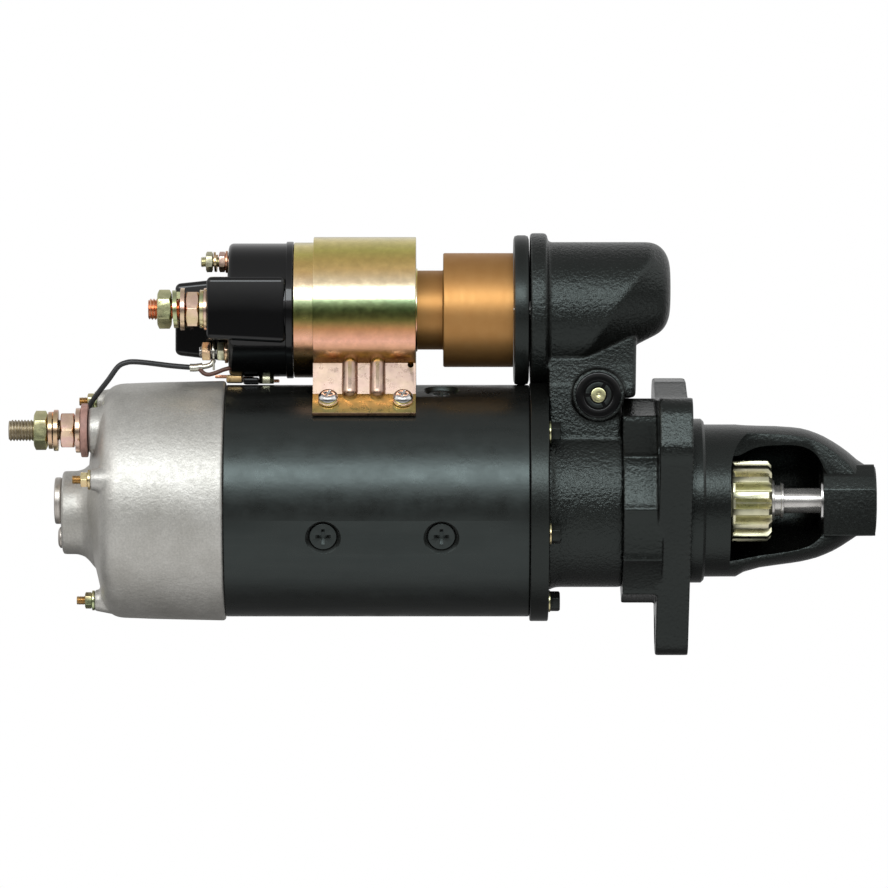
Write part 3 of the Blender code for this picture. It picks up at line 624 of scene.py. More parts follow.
def cross_screw(name, radius, height, recess, finish, point, axis, roll=0.0, flat=False, **how):
    """A screw head with a tapered cross recess, its underside at point, facing along axis."""
    base = -3.2
    if flat:
        profile = [(base, radius - 0.3), (height, radius, 0.25)]
    else:
        profile = [(base, radius * 0.5), (-0.1, radius * 0.5), (0.0, radius - 0.2),
                   (height * 0.45, radius, 0.5), (height, radius * 0.72, 1.2)]
    head = solid(profile, 48)
    floor_x, top_x = height - 2.4, height + 0.3
    for turn in (0.0, 90.0):
        w, t = recess, recess * 0.2
        wedge = prism([(floor_x, -w * 0.45), (top_x, -w), (top_x, w), (floor_x, w * 0.45)],
                      -t, t, "Y")
        wedge.data.transform(Matrix.Rotation(math.radians(turn), 4, "X"))
        cut(head, wedge, solver="EXACT")
    bevelled(head, 0.16, 2, 30.0)
    head.name = name
    moved(head, point, axis, roll)
    return dress(head, finish, **how)


def hex_bolt_head(name, x0, height, flats, finish, centre, turn, **how):
    corner = flats / 2 / math.cos(math.radians(30))
    body = prism(circle(corner, centre, 6, turn), x0, x0 + height)
    cone = [(x0 - 1, corner + 1), (x0 + height - 1.0, corner + 0.2),
            (x0 + height + 0.6, flats / 2 - 0.9)]
    common(body, solid(cone, 48, centre))
    bevelled(body, 0.2, 2, 20.0)
    body.name = name
    return dress(body, finish, **how)


def smooth_route(route, steps=6):
    """Catmull-Rom points through a route."""
    ends = [route[0]] + list(route) + [route[-1]]
    points = []
    for a, b, c, d in zip(ends, ends[1:], ends[2:], ends[3:]):
        a, b, c, d = (np.array(p, float) for p in (a, b, c, d))
        for step in range(steps):
            t = step / steps
            points.append(0.5 * (2 * b + (c - a) * t + (2 * a - 5 * b + 4 * c - d) * t ** 2
                                 + (3 * b - a - 3 * c + d) * t ** 3))
    points.append(np.array(route[-1], float))
    return [Vector(p) for p in points]


def wire(name, route, radius, finish, sides=14, **how):
    """A round wire along a smooth route."""
    points = smooth_route(route)
    rings = []
    side = Vector((0, 0, 1))
    for i, point in enumerate(points):
        along = (points[min(i + 1, len(points) - 1)] - points[max(i - 1, 0)]).normalized()
        side = (side - along * side.dot(along)).normalized()
        across = along.cross(side)
        rings.append([point + (side * math.cos(a) + across * math.sin(a)) * radius
                      for a in full_turn(sides)])
    return place(name, skinned(rings), finish, angle=60.0, **how)


# Commutator end

COVER_OUTSIDE = [
    (-259.3, 61.2), (-259.3, 67.3, 0.8), (-300.0, 66.4), (-325.9, 65.4, 9.5),
    (-330.2, 46.0), (-333.0, 34.5, 3.0), (-335.1, 29.6, 2.0), (-335.1, 0),
]
COVER_INSIDE = [(-330.0, 0), (-328.0, 33.0), (-322.0, 57.0, 5.0), (-300.0, 62.0)]
HUB_PROFILE = [
    (-328.0, 33.0), (-333.2, 30.5), (-335.8, 27.2), (-338.6, 24.6), (-342.5, 23.4),
    (-350.9, 23.3, 1.6),
]
STUD_ANGLES = (12.2, 102.2, 192.2, -77.8)
STUD_CIRCLE = 57.0


def end_cover():
    """The sand-cast cover with its offset hub, ground boss and four stud bosses."""
    cover = raw(lathe_mesh(COVER_OUTSIDE + COVER_INSIDE, 128, steps=8), "end_cover")
    join(cover, solid(HUB_PROFILE, 96, (0.0, -6.7)))
    join(cover, solid([(-334.9, 12.6, 1), (-322.0, 13.6)], 64, GROUND_AT))
    for degrees in STUD_ANGLES:
        join(cover, solid([(-332.4, 5.8), (-318.0, 8.6)], 32, spot(STUD_CIRCLE, degrees)))
    cast(cover, 0.9, 5, 0.35)
    cut(cover, solid([(-360, 11.4), (-320, 11.4)], 48))
    dress(cover, "cast_aluminium", stands_for=["commutator_end_cover"], angle=45.0)
    for number, degrees in enumerate(STUD_ANGLES, 1):
        at = spot(STUD_CIRCLE, degrees)
        node = [f"cover_stud_{number}"]
        threaded(f"cover_stud_tip_{number}", -342.4, -337.0, 2.5, 0.8, "bronze", at, 20,
                 stands_for=node)
        nut(f"cover_nut_{number}", -337.8, -333.9, 8.0, 2.5, "yellow_zinc", at, number % 2 == 0)
        ring(f"cover_washer_{number}", -333.8, -332.4, 2.6, 5.6, "yellow_zinc", 24, at)


def bearing_cap():
    """The disc over the rear bush and the pan-head screw below it."""
    profile = [(-351.2, 0), (-351.2, 12.2), (-352.0, 13.1, 0.4), (-355.3, 13.1, 1.2),
               (-355.3, 0)]
    lathe("bearing_cap_disc", profile, "machined_aluminium", 64, stands_for=["bearing_cap"])
    cross_screw("bearing_cap_screw_head", 6.1, 2.4, 3.2, "machined_aluminium",
                (-351.1, 0.0, -20.6), (-1, 0, 0), stands_for=["bearing_cap_screw"])


def ground_terminal():
    """The 12 mm ground stud with two nuts, a spring washer and flat washers."""
    at = GROUND_AT
    threaded("ground_stud_thread", -379.5, -334.0, 6.0, 1.75, "stud_steel", at,
             stands_for=["ground_stud"])
    nut("ground_nut_left", -365.4, -357.8, 19.0, 6.05, "olive_zinc", at, True,
        stands_for=["ground_nut_outer"])
    split_washer("ground_spring_washer", -357.4, -354.7, 2.1, 6.4, 10.4, "yellow_zinc", at)
    ring("ground_flat_washer", -354.4, -351.9, 6.3, 11.5, "yellow_zinc", 56, at)
    nut("ground_nut_right", -350.5, -342.8, 19.0, 6.05, "pink_zinc", at, False,
        stands_for=["ground_nut_inner"])
    ring("ground_wide_washer", -342.1, -339.4, 6.3, 12.5, "pink_zinc", 56, at)
    ring("ground_fibre_washer", -339.1, -335.3, 6.3, 15.0, "fibre", 64, at, 0.6,
         stands_for=["ground_washer"])


# Motor body

POLE_SCREWS = [(x, degrees) for x in (-203.8, -138.4) for degrees in (-18.0, 72.0, 162.0, 252.0)]


def yoke():
    """The rolled steel tube with four pairs of countersunk pole screws."""
    ends = YOKE_ENDS
    profile = [(ends[0], 57.0), (ends[0], YOKE_RADIUS, 0.9), (ends[1], YOKE_RADIUS, 0.9),
               (ends[1], 57.0)]
    tube = raw(lathe_mesh(profile, 192), "yoke")
    sinks = []
    for x, degrees in POLE_SCREWS:
        y, z = spot(1.0, degrees)
        sink = solid([(59.8, 7.9), (62.0, 7.9), (66.4, 10.9)], 48)
        sinks.append(moved(sink, (x, 0, 0), (0, y, z)))
    cut(tube, *sinks)
    bevelled(tube, 0.35, 2, 40.0)
    dress(tube, "black_paint", stands_for=["yoke_tube"])
    for number, (x, degrees) in enumerate(POLE_SCREWS, 1):
        y, z = spot(1.0, degrees)
        cross_screw(f"pole_screw_{number}", 7.45, 1.7, 4.7, "black_paint",
                    (x, 61.0 * y, 61.0 * z), (0, y, z), 18.0, True)


THROUGH_BOLT_ANGLES = (42.0, -18.0, -78.0, -138.0, -198.0)
THROUGH_BOLT_CIRCLE = 57.4


def bearing_plate():
    """The disc between the motor and the lever housing; the tower hides its sixth bolt."""
    profile = [(-89.1, 18.3), (-89.1, 67.6, 0.9), (-78.8, 67.6, 0.9), (-78.8, 18.3)]
    disc = raw(lathe_mesh(profile, 160), "bearing_plate_disc")
    cut(disc, solid([(-96, 43.5), (-70, 43.5)], 96, SOLENOID))
    bevelled(disc, 0.3, 2, 50.0)
    dress(disc, "machined_black", stands_for=["bearing_plate"])
    for number, degrees in enumerate(THROUGH_BOLT_ANGLES):
        at = spot(THROUGH_BOLT_CIRCLE, degrees)
        ring(f"through_bolt_washer_{number}", -78.7, -77.6, 4.0, 6.1, "yellow_zinc", 32, at)
        hex_bolt_head(f"through_bolt_{number}", -77.6, 5.4, 10.0, "machined_black", at, degrees)


# Lever housing

TOWER_OUTLINE = [
    (-84.0, 22.0), (-38.2, 22.0), (-38.2, 57.6), (-30.4, 57.6), (-29.4, 92.0), (-84.0, 92.0),
]
TOWER_SECTION = [(-34.2, 22.0), (-34.0, 65.0), (-28.5, 77.0), (-20.0, 92.0), (20.0, 92.0),
                 (28.5, 77.0), (34.0, 65.0), (34.2, 22.0)]
WELL_OUTLINE = [
    (-73.3, 20.0), (-41.4, 20.0), (-41.4, 63.0), (-34.2, 63.0), (-34.2, 104.0), (-73.3, 104.0),
]
WELL_SECTION = [(-28.5, 18.0), (-28.5, 30.0), (-19.0, 48.0), (-19.0, 106.0), (19.0, 106.0),
                (19.0, 48.0), (28.5, 30.0), (28.5, 18.0)]
DOME_RADIUS = 38.2
DOME_SPLIT = ((-66.0, -38.2), (-17.0, 36.5))
DOME_END_HEIGHT = 118.6
DOME_CORNER = -22.0
DOME_END = [(-20.0, 26.3), (-17.2, 25.2), (-14.8, 23.4), (-12.9, 21.1), (-11.5, 18.4),
            (-10.6, 15.4), (-10.1, 12.2)]


def wrapped(points):
    """The convex solid round a set of points."""
    mesh = bmesh.new()
    for point in points:
        mesh.verts.new(point)
    found = bmesh.ops.convex_hull(mesh, input=mesh.verts)
    spare = set(found["geom_interior"]) | set(found["geom_unused"])
    bmesh.ops.delete(mesh, geom=[v for v in spare if isinstance(v, bmesh.types.BMVert)])
    return raw(mesh)


def crossed(side_outline, end_outline):
    """What an XZ outline and a YZ outline have in common."""
    return common(prism(side_outline, -60.0, 60.0, "Y"), prism(end_outline, -90.0, -20.0))


def dome_points():
    """A drum ended by a slanting plane, drawn in to a smaller disc set higher up."""
    (low_x, low), (high_x, high) = DOME_SPLIT
    rim = circle(DOME_RADIUS, SOLENOID, 128)
    points = [(-80.0, y, z) for y, z in rim]
    for y, z in rim:
        share = (z - SOLENOID[1] - low) / (high - low)
        points.append((min(low_x + (high_x - low_x) * share, DOME_CORNER), y, z))
    for x, radius in DOME_END:
        points += [(x, y, z) for y, z in circle(radius, (0.0, DOME_END_HEIGHT), 96)]
    return points


def lever_housing():
    """Cylinder, tower and dome cast in one, hollow for the lever and the plunger rod."""
    drum = [(-78.7, 50.5), (-75.0, 48.5, 3.0), (-37.7, 48.5)]
    body = solid(drum, 128, name="lever_housing")
    tower = bevelled(crossed(TOWER_OUTLINE, TOWER_SECTION), 2.2, 3)
    join(body, cut(tower, block((-90.0, -60.0, 0.0), (-78.7, 60.0, 120.0))))
    join(body, cast(wrapped(dome_points()), 1.2, 14, 1.0))
    collar = [(-88.8, 43.2, 1.0), (-79.6, 43.2, 1.5), (-78.6, 39.0, 1.0), (-77.0, 0)]
    join(body, solid(collar, 128, SOLENOID))
    join(body, prism(circle(14.5, PIVOT, 48), -37.2, 37.2, "Y"))
    cut(body, solid([(-90, 42.5), (-30, 42.5)], 64))
    cut(body, crossed(WELL_OUTLINE, WELL_SECTION))
    rims = [(-95.0, 107.0, 33.0), (-63.0, 107.0, 33.0), (-17.0, 112.5, 17.0)]
    cut(body, wrapped([(x, y, z) for x, height, radius in rims
                       for y, z in circle(radius, (0.0, height), 48)]))
    cast(body, 0.9, 5, 0.3)
    cut(body, prism(circle(12.9, PIVOT, 64), -45.0, -35.2, "Y"))
    cut(body, prism(circle(6.3, PIVOT, 32), -45.0, 45.0, "Y"))
    dress(body, "cast_iron_black", stands_for=["intermediate_housing"], angle=45.0)


def pivot_parts():
    """The plug over the lever pin, its retaining ring and the pin's plated end."""
    x, z = PIVOT
    at, near, far = (x, 0, z), (0, -1, 0), (0, 1, 0)
    plug = [(35.0, 0), (35.0, 12.6), (37.4, 12.6, 0.6), (37.4, 8.2, 0.3), (36.7, 7.9), (36.7, 0)]
    moved(lathe("pivot_plug", plug, "moulded_black", 64, stands_for=["pin_plug"]), at, near)
    clip = raw(lathe_mesh([(36.7, 4.9), (36.7, 7.2, 0.3), (37.6, 7.2, 0.3), (37.6, 4.9, 0.3)], 48),
               "pivot_clip")
    for turn in (90.0, 210.0, 330.0):
        notch = block((30, -1.0, 3.0), (40, 1.0, 9.0))
        notch.data.transform(Matrix.Rotation(math.radians(turn), 4, "X"))
        cut(clip, notch)
    moved(clip, at, near)
    dress(clip, "machined_black")
    end = [(36.5, 0), (36.5, 4.2), (38.0, 4.2, 0.5), (38.0, 1.1, 0.2), (37.2, 0)]
    moved(lathe("pivot_pin_end", end, "olive_zinc", 40), at, near)
    far_end = [(35.0, 0), (35.0, 6.0), (37.4, 6.0, 0.6), (37.4, 0)]
    moved(lathe("pivot_pin_far_end", far_end, "steel", 40), at, far)


# Drive-end shield

def hull(points):
    """The convex outline round a set of pairs, anticlockwise."""
    points = sorted(set((round(a, 4), round(b, 4)) for a, b in points))

    def turn(o, a, b):
        return (a[0] - o[0]) * (b[1] - o[1]) - (a[1] - o[1]) * (b[0] - o[0])

    def half(sequence):
        chain = []
        for p in sequence:
            while len(chain) > 1 and turn(chain[-2], chain[-1], p) <= 1e-6:
                chain.pop()
            chain.append(p)
        return chain[:-1]

    return half(points) + half(points[::-1])


def ear_spots():
    return [turn_point(around((0.0, 0.0), BOLT_CIRCLE, math.radians(a)), FLANGE_CLOCK)
            for a in (-90, 30, 150)]


FLANGE_DIP = [
    (-90.0, 57.4), (0.0, 57.0, 10.0), (34.0, 67.6, 6.0), (40.0, 76.0), (40.0, 90.0),
    (-90.0, 90.0),
]


def flange_outline():
    """A three-eared plate: a flat top edge, two broad shoulders and a narrow bottom ear."""
    rims = circle(14.4, (0.0, -BOLT_CIRCLE), 48)
    for side in (-1, 1):
        rims += circle(15.9, (side * 63.22, 36.5), 48)
        rims += circle(13.9, (side * 60.0, 49.7), 48)
    return [turn_point(p, FLANGE_CLOCK) for p in hull(rims)]


def scalloped_outline():
    """Twelve ridges with shallow hollows between them."""
    points = []
    for flute in range(12):
        for share in range(12):
            dip = 3.6 * math.sin(math.pi * share / 12) ** 0.6
            points.append(spot(58.0 - dip, -4.6 + 30.0 * (flute + share / 12)))
    return points


BELL_SECTIONS = [
    (8.5, 42.8, 42.7), (26.5, 42.8, 42.6), (31.0, 42.4, 40.0), (40.0, 42.1, 37.5),
    (49.0, 41.9, 36.2), (58.0, 41.3, 35.0), (63.0, 40.7, 34.2), (67.5, 39.6, 33.2),
    (72.0, 38.0, 32.0), (76.0, 36.2, 30.5), (81.0, 33.4, 28.3), (85.5, 30.5, 25.8),
    (90.0, 27.2, 22.9), (94.5, 23.3, 19.9), (99.0, 20.3, 19.8), (103.6, 19.8, 19.8),
    (104.8, 19.0, 19.0),
]
BELL_CAVITY = [
    (104.8, 9.4, 9.4), (80.4, 9.4, 9.4), (80.2, 20.0, 20.0), (78.6, 22.6, 22.6),
    (75.4, 25.6, 25.6), (73.9, 28.4, 26.8), (71.7, 31.4, 28.4), (69.5, 33.2, 29.8),
    (67.0, 34.7, 30.9), (63.5, 35.8, 32.0), (60.0, 36.4, 32.9), (55.0, 36.6, 33.7),
    (50.0, 36.4, 34.4), (45.0, 36.2, 35.0), (40.0, 35.6, 35.6), (36.5, 34.7, 36.4),
    (33.0, 33.3, 37.1), (30.0, 31.7, 37.8), (28.0, 30.8, 38.3), (24.0, 30.3, 38.9),
    (18.0, 36.5, 39.0), (-1.0, 37.5, 37.5),
]
WINDOW_OUTLINE = [
    (22.3, -60.0), (22.3, 38.6, 25.0), (66.0, 46.0), (110.0, 46.0), (110.0, -60.0),
]
NOSE_BLOCK = [(-23.6, -19.4, 0.8), (-23.6, 6.5, 0.5), (-20.0, 13.8, 0.5), (-12.5, 20.4, 1.5),
              (0.0, 20.4), (0.0, -19.4)]


def loft(sections, cavity, sides=128):
    """Rings whose tops and bottoms differ, run along the outside and back through a cavity."""
    rings = []
    for x, top, low in sections + cavity:
        middle = (0.0, (top - low) / 2)
        rings.append([(x, *around(middle, (top + low) / 2, a)) for a in full_turn(sides)])
    return skinned(rings, closed=True)


def nose_bell():
    """The pilot and the nose, cut away on the near side for the ring gear."""
    sections = [(-1.0, 46.04, 46.04), (6.9, 46.04, 46.04), (8.4, 44.6, 44.6)] + BELL_SECTIONS
    bell = raw(loft(sections, BELL_CAVITY), "nose_bell")
    cut(bell, prism(softened(WINDOW_OUTLINE, 10), -60.0, -18.5, "Y"))
    bevelled(bell, 1.0, 3, 32.0)
    chin = prism(softened(NOSE_BLOCK, 3), 74.9, 103.6, name="nose_block")
    cut(chin, solid([(70, 16.5), (80.5, 16.5), (80.5, 9.4), (110, 9.4)], 64))
    bevelled(chin, 0.5, 3, 30.0)
    dress(chin, "nose_black", stands_for=["drive_end_shield"], angle=30.0)
    dress(bell, "nose_black", stands_for=["drive_end_shield"], angle=40.0)


def mounting_flange():
    """Scalloped ring and three-eared flange, cast in one with the nose."""
    body = prism(flange_outline(), -18.5, 0.0, name="mounting_flange")
    cut(body, prism(softened(FLANGE_DIP, 6), -20.0, 1.0))
    join(body, prism(scalloped_outline(), -37.6, -16.0))
    cut(body, solid([(-40, 41.5), (2, 41.5)], 96))
    cast(body, 0.85, 5, 0.3)
    for at in ear_spots():
        cut(body, solid([(-22, 8.5), (-19.2, 8.5), (-0.6, 8.5), (1.0, 9.8)], 48, at))
    dress(body, "flange_black", stands_for=["drive_end_shield"], angle=45.0)


# Drive

def shaft():
    profile = [
        (-350.0, 0), (-350.0, 8.0, 0.6), (-324.5, 8.0), (-324.5, 11.7), (-78.0, 11.7, 0.5),
        (-78.0, 10.0), (39.4, 10.0, 0.8), (42.0, 7.05), (104.3, 7.05, 0.8), (104.3, 0),
    ]
    lathe("armature_shaft_turned", profile, "shaft_steel", 96, body="armature",
          stands_for=["armature_shaft"])


def clutch():
    profile = [
        (-71.0, 10.6), (-71.0, 15.0, 0.8), (-51.5, 15.0), (-51.5, 27.4, 1.0),
        (-49.0, 29.6, 1.5), (12.0, 29.6), (12.6, 28.8), (14.0, 28.8), (14.6, 29.6),
        (17.0, 29.6, 1.5), (19.4, 27.4, 1.0), (19.4, 10.6),
    ]
    lathe("clutch_drum_turned", profile, "laminated_steel", 96, body="clutch",
          stands_for=["clutch_drum"])
    ring("thrust_washer_turned", 73.9, 79.6, 7.6, 16.3, "steel", 64, stands_for=["thrust_washer"])


TEETH = 15
TOOTH_MODULE = 2.54


def tooth_outline():
    """Stub teeth with curved flanks and filleted roots."""
    pitch = TEETH * TOOTH_MODULE / 2
    widths = [(pitch - 2.7, 6.2), (pitch - 2.3, 5.7), (pitch - 1.4, 5.2), (pitch, 4.8),
              (pitch + 1.2, 4.4), (pitch + 2.4, 3.9), (22.85, 3.4)]
    points = []
    for tooth in range(TEETH):
        middle = 172.0 + 360.0 / TEETH * tooth
        sides = [(r, -math.degrees(w / 2 / r)) for r, w in widths]
        sides += [(r, -turn) for r, turn in reversed(sides)]
        points += [turn_point((r, 0.0), middle + turn) for r, turn in sides]
    return points


def pinion():
    """The pinion: chamfered teeth, a rear ring and a stepped nose sleeve."""
    gear = prism(tooth_outline(), 24.6, 46.4, name="pinion_teeth")
    common(gear, solid([(20.0, 21.4), (25.4, 23.2), (44.0, 23.2), (47.2, 19.4)], 96))
    join(gear, solid([(20.1, 14.0), (24.0, 14.0), (24.0, 21.6, 0.6), (26.0, 21.6, 0.6)], 96))
    sleeve = [(45.0, 7.7), (45.0, 11.5), (48.2, 11.5, 0.4), (48.4, 8.7), (51.7, 8.7),
              (51.9, 9.9, 0.3), (53.5, 9.9, 0.5), (53.5, 7.7)]
    lathe("pinion_sleeve", sleeve, "shaft_steel", 64, body="pinion")
    cut(gear, solid([(10.0, 10.6), (42.5, 10.6), (43.5, 7.7), (53.0, 7.7), (60.0, 8.6)], 64))
    bevelled(gear, 0.14, 2, 28.0)
    dress(gear, "pinion_zinc", "pinion", ["pinion_gear"], 30.0)


# Solenoid

def solenoid_case():
    profile = [
        (-221.0, 34.0), (-221.0, 37.9, 0.7), (-152.7, 37.9, 1.0), (-152.7, 23.3),
        (-151.9, 23.3, 0.4), (-151.9, 22.6), (-153.0, 18.5), (-156.0, 18.5), (-156.0, 34.0),
    ]
    lathe("solenoid_case_shell", profile, "case_zinc", 160, SOLENOID,
          stands_for=["solenoid_case"])


def plunger_tube():
    profile = [
        (-152.3, 18.0), (-152.3, 22.2), (-137.9, 22.2), (-137.5, 22.6), (-137.5, 32.0, 1.1),
        (-98.3, 32.0), (-98.3, 29.0), (-134.0, 29.0), (-134.0, 18.0),
    ]
    lathe("plunger_tube_shell", profile, "bronze_tube", 160, SOLENOID,
          stands_for=["plunger_tube"])
    ring("tube_flange_disc", -98.0, -89.5, 32.2, 42.0, "machined_black", 128, SOLENOID, 2.2,
         stands_for=["tube_flange"])


def return_spring():
    """The plunger's return spring, a fixed coil; the real one shortens as the plunger is drawn in.
    """
    turns, radius, thick = 6, 21.5, 1.6
    start, end = -132.0, -103.3
    steps = turns * 12
    route = []
    for step in range(steps + 1):
        angle = 2 * math.pi * turns * step / steps
        route.append((start + (end - start) * step / steps, *around(SOLENOID, radius, angle)))
    coil = wire("return_spring_coil", route, thick, "stud_steel", 8, stands_for=["return_spring"])
    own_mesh(coil)


def rounded_block(name, low, high, radius, finish):
    """A finished box with rounded edges."""
    piece = bevelled(block(low, high), radius, 4)
    piece.name = name
    return dress(piece, finish)


def terminal_cap():
    """The glossy moulded cap: a drum with a lip, and two terminal towers."""
    drum = [(-257.6, 37.4, 3.2), (-225.4, 37.4), (-225.2, 38.0), (-225.0, 38.4, 0.8),
            (-221.3, 38.4, 0.8)]
    cap = solid(drum, 160, SOLENOID, 6, "terminal_cap")
    near = prism([(-269.0, 90.2), (-225.2, 88.0), (-225.2, 124.8), (-269.0, 124.8)],
                 -37.9, -5.0, "Y")
    far = prism([(-288.2, 82.0), (-250.0, 77.5), (-250.0, 126.0), (-288.2, 122.0)],
                6.0, 30.0, "Y")
    for tower in (near, far):
        bevelled(tower, 2.9, 5)
    merge(cap, near, far)
    dress(cap, "moulded_black", stands_for=["solenoid_cap"], angle=40.0)


def battery_terminal():
    at = BATTERY_AT
    threaded("battery_stud_thread", -301.9, -266.0, 6.0, 1.75, "copper", at,
             stands_for=["battery_stud"])
    nut("battery_nut_left", -296.8, -289.0, 19.0, 6.05, "olive_zinc", at, True,
        stands_for=["battery_nut_outer"])
    split_washer("battery_spring_washer", -288.7, -284.2, 2.2, 6.4, 10.6, "yellow_zinc", at, 80.0)
    ring("battery_flat_washer", -283.9, -281.5, 6.3, 11.9, "pink_zinc", 56, at)
    nut("battery_nut_right", -280.9, -273.6, 19.0, 6.05, "pink_zinc", at, False,
        stands_for=["battery_nut_inner"])
    ring("battery_inner_washer", -273.2, -271.0, 6.3, 10.8, "yellow_zinc", 56, at)
    ring("battery_seat_washer", -270.9, -269.1, 6.3, 11.8, "pink_zinc", 56, at)


def small_terminals():
    """The 6 mm control and return studs with their nuts and washers; the ring lug comes with the
    wiring.
    """
    at = CONTROL_AT
    threaded("control_stud_thread", -272.8, -250.0, 3.0, 1.0, "pinion_zinc", at, 24,
             stands_for=["control_stud"])
    nut("control_nut_left", -270.1, -266.2, 10.0, 3.05, "pinion_zinc", at, True)
    split_washer("control_spring_washer", -266.0, -263.4, 1.3, 3.3, 5.6, "yellow_zinc", at, 60.0)
    nut("control_nut_right", -262.8, -259.2, 10.0, 3.05, "pink_zinc", at, True)
    ring("control_washer", -259.1, -257.9, 3.2, 6.2, "copper", 32, at)
    at = RETURN_AT
    threaded("return_stud_thread", -273.8, -250.0, 3.0, 1.0, "steel", at, 24,
             stands_for=["return_stud"])
    nut("return_nut_left", -272.3, -267.4, 10.0, 3.05, "yellow_zinc", at, False)
    nut("return_nut_right", -263.8, -259.6, 10.0, 3.05, "pinion_zinc", at, False)
    ring("return_washer", -259.5, -257.8, 3.2, 6.6, "yellow_zinc", 32, at)


# Clamp

SADDLE_NEAR = [
    (-25.0, 77.6), (-26.4, 74.6), (-32.0, 58.4), (-45.8, 47.4), (-47.2, 49.1),
    (-34.0, 59.7), (-28.3, 75.6), (-27.3, 78.2),
]
CLAMP_X = (-210.0, -152.7)
RIBS_X = (-189.4, -174.0)
CLAMP_SCREWS_X = (-201.3, -159.8)
FOOT_MIDDLE = (39.4, 55.9)
FOOT_NORMAL = (0.623, 0.782)


def capsule(start, end, radius):
    """A round-ended bar between two points."""
    points = []
    for centre in (start, end):
        for tilt in range(-90, 91, 15):
            height = radius * math.sin(math.radians(tilt))
            rim = circle(radius * math.cos(math.radians(tilt)), centre[:2], 24)
            points += [(x, y, centre[2] + height) for x, y in rim]
    return wrapped(points)


def solenoid_clamp():
    """The band round the case and a ribbed saddle on each side."""
    band = raw(lathe_mesh([(CLAMP_X[0], 38.1), (CLAMP_X[0], 41.0, 0.5), (CLAMP_X[1], 41.0, 0.5),
                           (CLAMP_X[1], 38.1)], 160, SOLENOID), "clamp")
    pieces = []
    for side in (1, -1):
        outline = [(side * y, z) for y, z in SADDLE_NEAR]
        saddle = prism(outline, *CLAMP_X)
        for x in RIBS_X:
            pieces.append(capsule((x, side * -27.4, 75.8), (x, side * -33.8, 60.8), 4.5))
        cut(saddle, prism(circle(1.7, (-155.6, 76.0), 24), -60.0, 60.0, "Y"))
        pieces.append(bevelled(saddle, 0.6, 3, 40.0))
    dress(band, "clamp_zinc", stands_for=["solenoid_clamp"], angle=24.0)
    merge(pieces[0], *pieces[1:])
    pieces[0].name = "clamp_saddles"
    dress(pieces[0], "saddle_zinc", angle=24.0)
    for number, (x, side) in enumerate(
            [(x, side) for side in (-1, 1) for x in CLAMP_SCREWS_X], 1):
        axis = (0.0, side * FOOT_NORMAL[0], FOOT_NORMAL[1])
        point = Vector((x, side * FOOT_MIDDLE[0], FOOT_MIDDLE[1]))
        washer = disc_profile(0, 1.3, 3.0, 5.7)
        moved(lathe(f"clamp_washer_{number}", washer, "pink_zinc", 48), point, axis)
        cross_screw(f"clamp_screw_{number}", 5.6, 3.9, 3.0, "steel",
                    point + Vector(axis) * 1.4, axis, 20.0)


# Wiring

LINK_ROUTE = [
    (-336.0, -12.5, 50.5), (-334.4, -13.5, 54.7), (-330.2, -15.5, 60.5), (-324.6, -17.5, 67.5),
    (-319.0, -18.5, 75.0), (-314.3, -18.8, 77.3), (-309.8, -19.0, 77.7), (-303.2, -18.0, 77.2),
    (-296.5, -16.5, 76.4), (-289.9, -15.5, 75.6), (-283.2, -14.8, 75.0), (-277.6, -14.2, 74.6),
]
BROWN_ROUTE = [
    (-274.0, -15.0, 74.4), (-271.6, -16.5, 71.6), (-268.6, -17.0, 70.6), (-264.5, -17.0, 71.6),
    (-260.5, -17.0, 73.2), (-256.4, -16.0, 74.4), (-252.0, -14.0, 76.0),
]


def wiring():
    """The link lead with its lug, the small brown lead and the motor strap's parts."""
    wire("link_lead_wire", LINK_ROUTE, 1.5, "cable_black", stands_for=["link_lead"])
    wire("brown_lead", BROWN_ROUTE, 1.2, "cable_brown")
    y, z = RETURN_AT
    lug = prism(circle(5.9, (y, z), 40), -266.3, -265.2, name="return_lug")
    tail = [(y - 2.4, z - 10.5), (y + 2.4, z - 10.5), (y + 3.4, z), (y - 3.4, z)]
    join(lug, prism(tail, -266.3, -265.2))
    bevelled(lug, 0.25, 2)
    dress(lug, "bright_zinc")
    wire("lug_crimp", [(-279.0, y - 0.2, 74.5), (-276.0, y - 0.3, 74.5), (-272.0, y - 0.5, 75.0)],
         2.2, "bright_zinc")
    wire("lug_tail", [(-272.5, y - 0.4, 74.9), (-269.4, y - 0.3, 75.4), (-266.8, y - 0.2, 76.6),
                      (-265.8, y - 0.1, 79.0)], 1.4, "bright_zinc")
    wire("link_lead_tail", [(-336.0, -12.5, 50.5), (-339.0, -10.5, 48.0), (-341.2, -12.0, 45.0),
                            (-341.0, -13.6, 43.4)], 1.3, "bright_zinc")
    strap = [(-266.0, 70.7), (-247.0, 70.7), (-241.0, 68.3), (-230.0, 68.3),
             (-230.0, 66.5), (-241.6, 66.5), (-247.6, 68.9), (-266.0, 68.9)]
    bar = prism(strap, 12.0, 26.0, "Y", "motor_strap_bar")
    bevelled(bar, 0.4, 2)
    dress(bar, "copper", stands_for=["motor_strap"])
    rounded_block("strap_block", (-249.5, -8.0, 65.2), (-240.8, 12.0, 69.2), 1.2, "moulded_black")
    rounded_block("strap_tab", (-259.0, -8.0, 66.0), (-250.0, 12.0, 70.6), 1.0, "bronze")
    nut_body = prism(circle(4.3, (-236.6, -2.0), 6), 65.6, 70.2, "Z", "strap_nut")
    bevelled(nut_body, 0.4, 2, 30.0)
    dress(nut_body, "pinion_zinc")


# Studio, in metres

SKY_STRENGTH = 2.2
MIDDLE_X = -0.137
FLOOR_Z = -0.45


